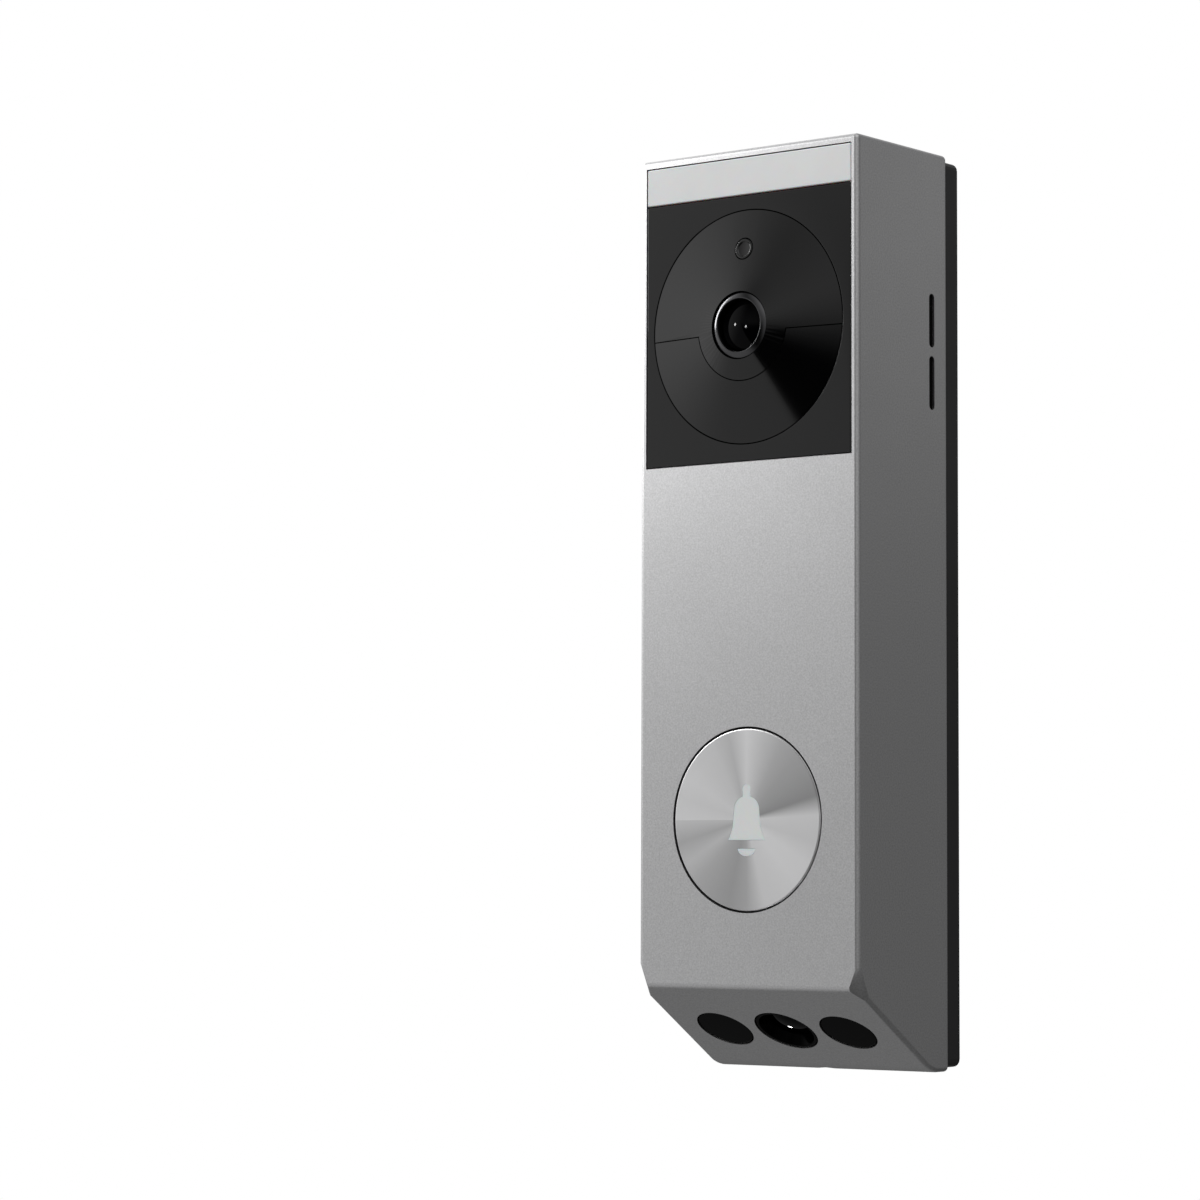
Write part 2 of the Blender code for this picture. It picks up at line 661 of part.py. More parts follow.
def front_housing():
    housing = housing_shell()
    wide = INNER_HALF + SHELL_WALL / 2
    frame_z = (WINDOW_BOTTOM_Z - TRIM_LEDGE, INNER_TOP_Z + SHELL_WALL / 2)
    join(housing, box("window frame", (-wide, wide), (WALL_INNER_Y - SHELL_WALL / 2, FRAME_BACK_Y), frame_z))
    collar = hoop("button collar", COLLAR_INNER, COLLAR_OUTER, -COLLAR_DEPTH, -SHELL_WALL / 2, BUTTON_PLACE)
    join(housing, collar)
    for x in (-SCREW_X, SCREW_X):
        for z in SCREW_HEIGHTS:
            add_screw_boss(housing, x, z)
    recess = box(
        "trim recess",
        (-TRIM_HALF - TRIM_SEAM, TRIM_HALF + TRIM_SEAM),
        (BODY_FRONT_Y - CLEAR, LEDGE_Y),
        (WINDOW_BOTTOM_Z - TRIM_SEAM, BAR_TOP_Z + TRIM_SEAM),
    )
    opening = box(
        "trim opening",
        (TRIM_LEDGE - TRIM_HALF, TRIM_HALF - TRIM_LEDGE),
        (BODY_FRONT_Y, FRAME_BACK_Y + CLEAR),
        (WINDOW_BOTTOM_Z + TRIM_LEDGE, BAR_TOP_Z - TRIM_LEDGE),
    )
    cut(housing, recess, opening)
    through = (-SHELL_WALL - CLEAR, CLEAR)
    cut(housing, disc("button hole", BUTTON_RADIUS + BUTTON_GAP, *through, BUTTON_PLACE, steps=64))
    for name, x, radius in SLOPE_HOLES:
        cut(housing, disc(f"{name} slope hole", radius + TRIM_SEAM, *through, slope_place(x)))
    slot_y = BODY_FRONT_Y + SLOT_FROM_FRONT
    for drop in SLOT_DROPS:
        high = TOP_Z - drop
        sides = (INNER_HALF - CLEAR, HALF_WIDTH + CLEAR)
        slot_span = (slot_y - SLOT_WIDTH / 2, slot_y + SLOT_WIDTH / 2)
        cut(housing, box(f"speaker slot {drop}", sides, slot_span, (high - SLOT_LENGTH, high)))
    cut(housing, disc("lock screw hole", LOCK_RADIUS + SEAM, -2 * SHELL_WALL, CLEAR, LOCK_PLACE, steps=24))
    seat = -LOCK_SINK - LOCK_HEAD - SEAM
    cut(housing, disc("lock screw recess", LOCK_HEAD_RADIUS + SEAM, seat, CLEAR, LOCK_PLACE, steps=24))
    return housing


def add_screw_boss(housing, x, z):
    """A post from the front wall to the rear cover, webbed to the side wall."""
    back = COVER_FRONT_Y - SEAM
    place = facing((x, back, z), BACK)
    length = back - WALL_INNER_Y + SHELL_WALL / 2
    name = f"boss {x:.4f}, {z:.4f}"
    side = math.copysign(1.0, x)
    web_x = sorted((x + side * SCREW_BOSS_RADIUS / 2, side * (INNER_HALF + SHELL_WALL / 2)))
    web_y = (WALL_INNER_Y - SHELL_WALL / 2, SEAL_FRONT_Y - SEAM)
    web_z = (z - BOSS_WEB / 2, z + BOSS_WEB / 2)
    join(housing, disc(name, SCREW_BOSS_RADIUS, -length, 0.0, place, steps=16))
    join(housing, box(f"{name} web", web_x, web_y, web_z))
    pilot = disc(f"{name} pilot", SCREW_RADIUS + SEAM, -SCREW_LENGTH - SEAM, CLEAR, place, steps=10)
    cut(housing, pilot)


def slope_place(x):
    """A place on the sloped underside, facing out of it."""
    centre = SLOPE_TOP + SLOPE_DOWN * SLOPE_HOLE_DISTANCE
    return facing((x, centre.y, centre.z), SLOPE_OUT)


# ----------------------------------------------------------------- rear cover
def rear_cover():
    half = INNER_HALF - SEAM
    low, high = INNER_BOTTOM_Z + SEAM, INNER_TOP_Z - SEAM
    cover = box("rear_cover", (-half, half), (COVER_FRONT_Y, BODY_BACK_Y), (low, high), DARK_PLASTIC)
    for x in (-HOOK_X, HOOK_X):
        for z in HOOK_HEIGHTS:
            add_hook_pocket(cover, x, z)
    add_foot_pocket(cover)
    y_through = (COVER_FRONT_Y - CLEAR, BODY_BACK_Y + CLEAR)
    flap_x, flap_z = FLAP_SPAN
    cut(cover, box(
        "flap recess",
        (flap_x[0] - SEAM, flap_x[1] + SEAM),
        (BODY_BACK_Y - FLAP_THICKNESS - SEAM, BODY_BACK_Y + CLEAR),
        (flap_z[0] - SEAM, flap_z[1] + SEAM),
    ))
    cut(cover, box(
        "port opening",
        (PORT_X - PORT_WIDTH / 2 - SEAM, PORT_X + PORT_WIDTH / 2 + SEAM),
        y_through,
        (PORT_Z - PORT_HEIGHT / 2 - SEAM, PORT_Z + PORT_HEIGHT / 2 + SEAM),
    ))
    through = (-COVER_THICKNESS - CLEAR, CLEAR)
    cut(cover, disc("reset hole", RESET_RADIUS + SEAM, *through, RESET_PLACE, steps=24))
    cut(cover, box(
        "terminal opening",
        (-TERMINAL_HALF_WIDTH - SEAM, TERMINAL_HALF_WIDTH + SEAM),
        y_through,
        (TERMINAL_Z - TERMINAL_HALF_HEIGHT - SEAM, TERMINAL_Z + TERMINAL_HALF_HEIGHT + SEAM),
    ))
    for x in (-SCREW_X, SCREW_X):
        for z in SCREW_HEIGHTS:
            place = facing((x, BODY_BACK_Y, z), BACK)
            name = f"{x:.4f}, {z:.4f}"
            hole = disc(f"cover hole {name}", SCREW_RADIUS + SEAM, *through, place, steps=10)
            sink = disc(f"cover sink {name}", SCREW_HEAD_RADIUS + SEAM, -SCREW_SEAT, CLEAR, place, steps=14)
            cut(cover, hole, sink)
    return cover


def add_hook_pocket(cover, x, z):
    """A slot that passes the hook, and a walled pocket that its lip slides up into."""
    half = HOOK_WIDTH / 2 + SEAM
    slot_low = z - LIFT_TRAVEL - SEAM
    slot_high = z + HOOK_ROOT + SEAM
    pocket_high = z + HOOK_ROOT + HOOK_LIP + SEAM
    pocket_front = COVER_FRONT_Y - HOOK_LIP_THICKNESS - 2 * SEAM
    name = f"pocket {x:.3f}, {z:.3f}"
    wall = half + POCKET_WALL
    join(cover, box(
        f"{name} walls",
        (x - wall, x + wall),
        (pocket_front - POCKET_WALL, COVER_FRONT_Y + COVER_THICKNESS / 2),
        (slot_low - POCKET_WALL, pocket_high + POCKET_WALL),
    ))
    width = (x - half, x + half)
    cut(cover, box(f"{name} inside", width, (pocket_front, COVER_FRONT_Y), (slot_low, pocket_high)))
    cut(cover, box(f"{name} slot", width, (pocket_front, BODY_BACK_Y + CLEAR), (slot_low, slot_high)))


def add_foot_pocket(cover):
    """A pocket, open below, that the plate's foot sits in while the body rises past it."""
    half = FOOT_X[1] + SEAM
    wall = half + POCKET_WALL
    high = FOOT_Z[1] + SEAM
    front = FOOT_FRONT_Y - SEAM
    join(cover, box(
        "foot pocket walls",
        (-wall, wall),
        (front - POCKET_WALL, COVER_FRONT_Y + COVER_THICKNESS / 2),
        (FOOT_POCKET_LOW_Z, high + POCKET_WALL),
    ))
    open_low = BOTTOM_Z
    cut(cover, box("foot pocket inside", (-half, half), (front, BODY_BACK_Y + CLEAR), (open_low, high)))


def housing_seal():
    """A rubber frame between the rear cover and the housing walls."""
    outer_x, outer_z = INNER_HALF - SEAM, (INNER_BOTTOM_Z + SEAM, INNER_TOP_Z - SEAM)
    span_y = (SEAL_FRONT_Y, COVER_FRONT_Y - SEAM)
    seal = box("housing_seal", (-outer_x, outer_x), span_y, outer_z, RUBBER)
    inner_x = outer_x - SEAL_WIDTH
    cut(seal, box(
        "seal inside",
        (-inner_x, inner_x),
        (SEAL_FRONT_Y - CLEAR, BODY_BACK_Y),
        (outer_z[0] + SEAL_WIDTH, outer_z[1] - SEAL_WIDTH),
    ))
    gap = FOOT_X[1] + 2 * SEAM + POCKET_WALL
    gap_y = (SEAL_FRONT_Y - CLEAR, BODY_BACK_Y)
    cut(seal, box("seal gap at foot", (-gap, gap), gap_y, (BOTTOM_Z, FOOT_Z[0])))
    return seal


def cover_screws():
    """Pan-head screws, sunk in the rear cover, each with a socket in its head."""
    screws = []
    number = 1
    for z in SCREW_HEIGHTS:
        for x in (-SCREW_X, SCREW_X):
            place = facing((x, BODY_BACK_Y - SCREW_SEAT + SEAM, z), BACK)
            profile = [
                (0.0, SCREW_HEAD_DEPTH),
                (SCREW_HEAD_RADIUS * SCREW_HEAD_TOP, SCREW_HEAD_DEPTH),
                (SCREW_HEAD_RADIUS, SCREW_HEAD_DEPTH * SCREW_HEAD_SIDE),
                (SCREW_HEAD_RADIUS, 0.0),
                (SCREW_RADIUS, 0.0),
                (SCREW_RADIUS, -SCREW_LENGTH + SCREW_RADIUS),
                (SCREW_RADIUS / 2, -SCREW_LENGTH),
                (0.0, -SCREW_LENGTH),
            ]
            screw = turned(f"rear_cover_screw_{number}", profile, place, STEEL, steps=12)
            width, floor = SCREW_HEAD_RADIUS * SCREW_SOCKET, SCREW_HEAD_DEPTH * SCREW_SOCKET_FLOOR
            cut(screw, disc(f"screw socket {number}", width, floor, CLEAR, place, steps=6))
            screws.append(screw)
            number += 1
    return screws


# ------------------------------------------------- light bar, window, camera
def light_bar():
    bar = box(
        "light_bar",
        (-TRIM_HALF, TRIM_HALF),
        (BODY_FRONT_Y, TRIM_BACK_Y),
        (BAR_BOTTOM_Z, BAR_TOP_Z),
        DIFFUSER,
        rounding=TRIM_EDGE,
    )
    half = TRIM_HALF - TRIM_LEDGE - SEAM
    high = BAR_TOP_Z - TRIM_LEDGE - SEAM
    board = box(
        "light_bar_board",
        (-half, half),
        (LEDGE_Y + LED_HEIGHT, LEDGE_Y + LED_HEIGHT + THIN_BOARD),
        (high - BAR_BOARD_HEIGHT, high),
        BOARD_GREEN,
    )
    spacing = 2 * half / BAR_LEDS
    for index in range(BAR_LEDS):
        x = -half + spacing * (index + 0.5)
        middle = high - BAR_BOARD_HEIGHT / 2
        led = box(
            f"bar led {index}",
            (x - LED_HALF, x + LED_HALF),
            (LEDGE_Y + LED_HEIGHT / 2, LEDGE_Y + LED_HEIGHT + THIN_BOARD / 2),
            (middle - LED_HALF, middle + LED_HALF),
        )
        join(board, led)
    return bar, board


def camera_window():
    window = box(
        "camera_window",
        (-TRIM_HALF, TRIM_HALF),
        (BODY_FRONT_Y, TRIM_BACK_Y),
        (WINDOW_BOTTOM_Z, WINDOW_TOP_Z),
        WINDOW_BLACK,
        rounding=TRIM_EDGE,
    )
    through = (-TRIM_THICKNESS - CLEAR, CLEAR)
    cut(window, disc("dish hole", DISH_RADIUS + TRIM_SEAM, *through, LENS_PLACE, steps=72))
    return window


def dish(name):
    """The whole cone; its two pieces are cut from it."""
    hole = LENS_RING_RADIUS + TRIM_SEAM
    slope = (DISH_TOP_RISE - DISH_MID_RISE) / (DISH_MID_RADIUS - DISH_TOP_RADIUS)
    rise_at_hole = DISH_MID_RISE + slope * (DISH_MID_RADIUS - hole)
    profile = [
        (hole, rise_at_hole),
        (DISH_MID_RADIUS, DISH_MID_RISE),
        (DISH_RADIUS, 0.0),
        (DISH_RADIUS, -DISH_WALL),
        (DISH_MID_RADIUS, DISH_MID_RISE - DISH_WALL),
        (hole, rise_at_hole - DISH_WALL),
    ]
    return turned(name, profile, LENS_PLACE, DISH_BLACK, steps=72, ring=True)


def lower_region(name, room):
    """All that lies under the dish's level joint, except the half disc round the lens."""
    split = LENS_Z - DISH_SPLIT_DROP - room
    reach = DISH_RADIUS + CLEAR
    depth = (BODY_FRONT_Y - LENS_RING_RISE - CLEAR, BODY_FRONT_Y + DISH_WALL + CLEAR)
    region = box(name, (-reach, reach), depth, (LENS_Z - reach, split))
    through = (-DISH_WALL - 2 * CLEAR, LENS_RING_RISE + 2 * CLEAR)
    cut(region, disc(f"{name} collar", DISH_MID_RADIUS + room, *through, LENS_PLACE, steps=48))
    return region


def dish_pieces():
    upper = dish("camera_dish")
    cut(upper, lower_region("lower dish region", 0.0))
    through = (-CLEAR - DISH_WALL, CLEAR)
    hole = disc("light sensor hole", LIGHT_SENSOR_RADIUS + TRIM_SEAM, *through, LIGHT_SENSOR_PLACE, steps=28)
    cut(upper, hole)
    lower = dish("motion_sensor_cover")
    keep_inside(lower, lower_region("motion cover region", TRIM_SEAM))
    rim = LIGHT_SENSOR_RADIUS - LIGHT_SENSOR_RIM
    sensor = turned(
        "light_sensor_window",
        [
            (0.0, -LIGHT_SENSOR_SINK),
            (rim, -LIGHT_SENSOR_SINK),
            (rim + LIGHT_SENSOR_SINK, 0.0),
            (LIGHT_SENSOR_RADIUS, 0.0),
            (LIGHT_SENSOR_RADIUS, -DISH_WALL),
            (0.0, -DISH_WALL),
        ],
        LIGHT_SENSOR_PLACE, WINDOW_BLACK, steps=28,
    )
    return upper, lower, sensor


def main_lens():
    """Ring, glass and barrel of the upper camera, with its holder, sensor and board."""
    inner = LENS_RADIUS + SEAM
    ring = turned(
        "lens_ring",
        [
            (inner, LENS_RING_RISE - LENS_RING_BEVEL),
            (LENS_RING_RADIUS - LENS_RING_FACE, LENS_RING_RISE),
            (LENS_RING_RADIUS - TRIM_EDGE, LENS_RING_RISE),
            (LENS_RING_RADIUS, LENS_RING_RISE - TRIM_EDGE),
            (LENS_RING_RADIUS, -DISH_WALL),
            (inner, -DISH_WALL),
        ],
        LENS_PLACE, LENS_METAL, steps=40, ring=True,
    )
    glass_profile = dome_profile(LENS_RADIUS, GLASS_EDGE, GLASS_RISE, 5, GLASS_FOOT)
    glass = turned("lens_glass", glass_profile, LENS_PLACE, LENS_GLASS, steps=32)
    barrel_span = (-BARREL_LENGTH, GLASS_FOOT - SEAM)
    barrel = hoop("lens_barrel", LENS_APERTURE, LENS_RADIUS, *barrel_span, LENS_PLACE, BLACK_PLASTIC)
    holder_low = -BARREL_LENGTH - HOLDER_SENSOR_ROOM
    holder_y = (BODY_FRONT_Y - HOLDER_TOP, BODY_FRONT_Y - holder_low)
    span = (-HOLDER_HALF, HOLDER_HALF)
    holder_z = (LENS_Z - HOLDER_HALF, LENS_Z + HOLDER_HALF)
    holder = box("camera_holder", span, holder_y, holder_z, BLACK_PLASTIC)
    cut(holder, disc("holder bore", LENS_RADIUS + SEAM, holder_low - CLEAR, HOLDER_TOP + CLEAR, LENS_PLACE))
    board_y = BODY_FRONT_Y - holder_low + SEAM
    sensor = box(
        "image_sensor", (-SENSOR_HALF, SENSOR_HALF), (board_y - SEAM - SENSOR_THICKNESS, board_y - SEAM),
        (LENS_Z - SENSOR_HALF, LENS_Z + SENSOR_HALF), SENSOR_DARK,
    )
    board_span = (LENS_Z - CAMERA_BOARD_HALF, LENS_Z + CAMERA_BOARD_HALF)
    half = CAMERA_BOARD_HALF
    board = box("camera_board", (-half, half), (board_y, board_y + THIN_BOARD), board_span, BOARD_GREEN)
    return ring, glass, barrel, holder, sensor, board


def dome_profile(radius, edge, rise, count, foot):
    """A plano-convex lens: a spherical cap of the given rise above its edge, down to its foot."""
    sphere = (radius * radius + rise * rise) / (2 * rise)
    profile = []
    for step in range(count + 1):
        across = radius * step / count
        profile.append((across, edge + rise - sphere + math.sqrt(sphere * sphere - across * across)))
    return profile + [(radius, foot), (0.0, foot)]


def dish_sensors():
    """The board behind the dish, with the motion and light sensors and the microphone on it."""
    board_y = (BODY_FRONT_Y + SENSOR_BOARD_DEPTH, BODY_FRONT_Y + SENSOR_BOARD_DEPTH + THIN_BOARD)
    half = SENSOR_BOARD_HALF
    board_z = (LENS_Z - half, LENS_Z + half)
    board = box("sensor_board", (-half, half), board_y, board_z, BOARD_GREEN)
    middle = (-HOLDER_HALF - SEAM, HOLDER_HALF + SEAM)
    cut(board, box(
        "sensor board hole", middle, (board_y[0] - CLEAR, board_y[1] + CLEAR),
        (LENS_Z - HOLDER_HALF - SEAM, LENS_Z + HOLDER_HALF + SEAM),
    ))
    base = -SENSOR_BOARD_DEPTH + SEAM
    height = (base, base + PIR_HEIGHT)
    motion = disc("motion_sensor", PIR_RADIUS, *height, MOTION_PLACE, STEEL, rounding=PIR_EDGE)
    light_y = (board_y[0] - SEAM - LIGHT_CHIP, board_y[0] - SEAM)
    light_z = LENS_Z + LIGHT_SENSOR_RISE
    light_span = (light_z - LIGHT_CHIP, light_z + LIGHT_CHIP)
    light = box("light_sensor", (-LIGHT_CHIP, LIGHT_CHIP), light_y, light_span, SENSOR_DARK)
    mic_x = (MIC_X - MIC_HALF, MIC_X + MIC_HALF)
    mic_z = (LENS_Z - MIC_DROP - MIC_HALF, LENS_Z - MIC_DROP + MIC_HALF)
    microphone = box("microphone", mic_x, light_y, mic_z, STEEL)
    return board, motion, light, microphone


# ----------------------------------------------------------------- bell button
def bell_outline():
    """A generic bell: a knob on a domed crown, sides that flare to a flat foot."""
    knob = arc((0.0, BELL_KNOB_HEIGHT), BELL_KNOB, 90, -30, 6)
    neck_angle = math.degrees(math.acos(BELL_KNOB * 0.9 / BELL_SHOULDER))
    crown = arc((0.0, BELL_SHOULDER_HEIGHT), BELL_SHOULDER, neck_angle, 0, 6, squash=BELL_CROWN)
    skirt = [(BELL_WAIST, BELL_WAIST_HEIGHT), (BELL_FOOT - BELL_LIP, BELL_LOW + 2 * BELL_LIP)]
    foot = [(BELL_FOOT, BELL_LOW + BELL_LIP), (BELL_FOOT, BELL_LOW)]
    right = knob + crown + skirt + foot
    left = [(-x, y) for x, y in reversed(right) if x > 1e-6]
    return right + left


def clapper_outline():
    """A flattened half disc under the bell."""
    return arc((0.0, CLAPPER_HIGH), CLAPPER, 180, 360, 10, squash=CLAPPER_SQUASH)


def grown(points, room):
    """An outline moved outward by room, each corner along its bisector."""
    points = [Vector(point) for point in points]
    after = points[1:] + points[:1]
    before = points[-1:] + points[:-1]
    area = sum(here.cross(there) for here, there in zip(points, after))
    moved = []
    for previous, here, following in zip(before, points, after):
        arriving = (here - previous).normalized()
        leaving = (following - here).normalized()
        both = Vector((arriving.y + leaving.y, -arriving.x - leaving.x))
        moved.append(here + both * (math.copysign(2 * room, area) / both.length_squared))
    return moved


def bell_button():
    """The pressed cap, the lit bell set into it, and the carrier behind them."""
    shapes = (("bell", bell_outline()), ("clapper", clapper_outline()))
    low = -BUTTON_CAP
    cap = disc("bell_button", BUTTON_RADIUS, low, 0.0, BUTTON_PLACE, SPUN_METAL, 64, BUTTON_EDGE)
    for name, points in shapes:
        cut(cap, outline(f"{name} cutter", grown(points, BELL_FIT), low - CLEAR, CLEAR, BUTTON_PLACE))
    flange = low + BELL_FLANGE
    cut(cap, disc("symbol pocket", BELL_FLANGE_RADIUS + SEAM, low - CLEAR, flange + SEAM, BUTTON_PLACE))
    symbol = disc("bell_symbol", BELL_FLANGE_RADIUS, low, flange, BUTTON_PLACE, BELL_WHITE)
    for name, points in shapes:
        join(symbol, outline(f"{name} relief", points, flange - BELL_FLANGE / 2, 0.0, BUTTON_PLACE))
    top = low - SEAM
    flange_top = -SHELL_WALL - SEAM
    carrier = turned(
        "button_carrier",
        [
            (0.0, top),
            (BUTTON_RADIUS - SEAM, top),
            (BUTTON_RADIUS - SEAM, flange_top),
            (FLANGE_RADIUS, flange_top),
            (FLANGE_RADIUS, CARRIER_LOW),
            (NUB_RADIUS, CARRIER_LOW),
            (NUB_RADIUS, NUB_LOW),
            (0.0, NUB_LOW),
        ],
        BUTTON_PLACE, DARK_PLASTIC, steps=36,
    )
    return cap, symbol, carrier


def button_seat():
    """The seal round the carrier, the switch that the nub presses, and their board."""
    inner = FLANGE_RADIUS + SEAM
    outer = inner + BUTTON_SEAL_WIDTH
    seal = hoop("button_seal", inner, outer, CARRIER_LOW, -SHELL_WALL - SEAM, BUTTON_PLACE, RUBBER)
    board_top = SWITCH_TOP - SWITCH_HEIGHT - SEAM
    board_span = (board_top - THIN_BOARD, board_top)
    board = disc("button_board", COLLAR_INNER - SEAM, *board_span, BUTTON_PLACE, BOARD_GREEN)
    step = SWITCH_TOP - SWITCH_STEM
    switch = turned(
        "button_switch",
        [
            (0.0, SWITCH_TOP),
            (SWITCH_STEM_RADIUS, SWITCH_TOP),
            (SWITCH_STEM_RADIUS, step),
            (SWITCH_RADIUS, step),
            (SWITCH_RADIUS, SWITCH_TOP - SWITCH_HEIGHT),
            (0.0, SWITCH_TOP - SWITCH_HEIGHT),
        ],
        BUTTON_PLACE, STEEL, steps=24,
    )
    return seal, board, switch


def button_spring():
    """A short coil between the carrier's flange and the board."""
    high = CARRIER_LOW - SPRING_ROOM - SPRING_WIRE
    low = SWITCH_TOP - SWITCH_HEIGHT + SPRING_WIRE
    count = int(SPRING_TURNS * SPRING_STEPS)
    curve = bpy.data.curves.new("button_spring", "CURVE")
    curve.dimensions = "3D"
    curve.bevel_depth = SPRING_WIRE
    curve.bevel_resolution = 1
    curve.use_fill_caps = True
    spline = curve.splines.new("POLY")
    spline.points.add(count)
    for index, point in enumerate(spline.points):
        turn = 2 * math.pi * index / SPRING_STEPS
        height = low + (high - low) * index / count
        point.co = (SPRING_RADIUS * math.cos(turn), SPRING_RADIUS * math.sin(turn), height, 1.0)
    coil = bpy.data.objects.new("button_spring_path", curve)
    HELPERS.objects.link(coil)
    bpy.context.view_layer.update()
    mesh = bpy.data.meshes.new_from_object(coil.evaluated_get(bpy.context.evaluated_depsgraph_get()))
    bpy.data.objects.remove(coil)
    bm = bmesh.new()
    bm.from_mesh(mesh)
    bmesh.ops.remove_doubles(bm, verts=bm.verts, dist=1e-6)
    mesh.materials.clear()
    return put("button_spring", mesh_from(bm, "button_spring"), STEEL, BUTTON_PLACE)


# ------------------------------------------------------- lens on the underside
def lower_camera():
    """The lens in the sloped underside, the two infrared windows, and their board."""
    pieces = []
    middle = slope_place(0.0)
    inner_wall = -SHELL_WALL - SEAM
    flange_low = inner_wall - WINDOW_FLANGE
    ring = turned(
        "lower_lens_ring",
        [
            (LOWER_GLASS_RADIUS + SEAM, -SHELL_WALL),
            (SLOPE_LENS_RADIUS - LOWER_RING_FACE, -SLOPE_RECESS),
            (SLOPE_LENS_RADIUS, -SLOPE_RECESS),
            (SLOPE_LENS_RADIUS, inner_wall),
            (SLOPE_LENS_RADIUS + WINDOW_LIP, inner_wall),
            (SLOPE_LENS_RADIUS + WINDOW_LIP, flange_low),
            (LOWER_GLASS_RADIUS + SEAM, flange_low),
        ],
        middle, BLACK_PLASTIC, steps=36, ring=True,
    )
    foot = LOWER_GLASS_EDGE - LOWER_GLASS_FOOT
    glass_profile = dome_profile(LOWER_GLASS_RADIUS, LOWER_GLASS_EDGE, LOWER_GLASS_RISE, 4, foot)
    glass = turned("lower_lens_glass", glass_profile, middle, LENS_GLASS, steps=28)
    barrel_low = -LOWER_BARREL_DEPTH
    barrel = hoop(
        "lower_lens_barrel", LOWER_APERTURE, LOWER_GLASS_RADIUS, barrel_low, foot - SEAM, middle,
        BLACK_PLASTIC, steps=24,
    )
    board_high = barrel_low - SEAM
    centre = SLOPE_TOP + SLOPE_DOWN * SLOPE_HOLE_DISTANCE
    board_width = SLOPE_HOLE_SPACING + LED_RADIUS + 2 * THIN_BOARD
    board = box(
        "lower_camera_board", (-board_width, board_width), (-LOWER_BOARD_HALF, LOWER_BOARD_HALF),
        (board_high - THIN_BOARD, board_high), BOARD_GREEN, place=facing(centre, SLOPE_OUT),
    )
    for name, x, _radius in (SLOPE_HOLES[0], SLOPE_HOLES[2]):
        place = slope_place(x)
        window = turned(
            f"lower_window_{name}",
            [
                (0.0, -SLOPE_RECESS),
                (SLOPE_WINDOW_RADIUS - TRIM_EDGE, -SLOPE_RECESS),
                (SLOPE_WINDOW_RADIUS, -SLOPE_RECESS - TRIM_EDGE),
                (SLOPE_WINDOW_RADIUS, inner_wall),
                (SLOPE_WINDOW_RADIUS + WINDOW_LIP, inner_wall),
                (SLOPE_WINDOW_RADIUS + WINDOW_LIP, flange_low),
                (0.0, flange_low),
            ],
            place, WINDOW_BLACK, steps=32,
        )
        led_edge = flange_low - LED_DOME - SEAM
        led_profile = dome_profile(LED_RADIUS, led_edge, LED_DOME, 4, board_high + SEAM)
        pieces += [window, turned(f"infrared_led_{name}", led_profile, place, LED_CLEAR, steps=20)]
    return [ring, glass, barrel, board] + pieces


# -------------------------------------------------------- boards and battery
def main_electronics():
    board = box("main_board", MAIN_BOARD_X, (MAIN_FRONT_Y, MAIN_FRONT_Y + BOARD), MAIN_BOARD_Z, BOARD_GREEN)
    front = MAIN_FRONT_Y - SEAM
    shield_y = (front - SHIELD_HEIGHT, front)
    shield = box("processor_shield", SHIELD_X, shield_y, SHIELD_Z, STEEL, rounding=CASE_EDGE)
    antenna = box("wifi_antenna", ANTENNA_X, (front - ANTENNA_THICKNESS, front), ANTENNA_Z, BRASS)
    return board, shield, antenna


def battery():
    """Two cylindrical cells in an open frame."""
    cells = []
    for name, x in (("left", -CELL_X), ("right", CELL_X)):
        place = facing((x, CELL_Y, CELL_BOTTOM_Z), UP)
        profile = [
            (0.0, CELL_LENGTH),
            (CELL_CAP_RADIUS, CELL_LENGTH),
            (CELL_CAP_RADIUS, CELL_LENGTH - CELL_CAP),
            (CELL_RADIUS - CELL_EDGE, CELL_LENGTH - CELL_CAP),
            (CELL_RADIUS, CELL_LENGTH - CELL_CAP - CELL_EDGE),
            (CELL_RADIUS, 0.0),
            (0.0, 0.0),
        ]
        cells.append(turned(f"battery_cell_{name}", profile, place, CELL_WRAP, steps=24))
    inner_x = CELL_X + CELL_RADIUS + SEAM
    inner_z = (CELL_BOTTOM_Z - SEAM, CELL_TOP_Z + SEAM)
    tray = box(
        "battery_tray",
        (-inner_x - TRAY_WALL, inner_x + TRAY_WALL),
        (CELL_Y - TRAY_HALF_DEPTH, CELL_Y + TRAY_HALF_DEPTH),
        (inner_z[0] - TRAY_WALL, inner_z[1] + TRAY_WALL),
        DARK_PLASTIC,
    )
    depth = (CELL_Y - TRAY_HALF_DEPTH - CLEAR, CELL_Y + TRAY_HALF_DEPTH + CLEAR)
    cut(tray, box("tray inside", (-inner_x, inner_x), depth, inner_z))
    return cells + [tray]


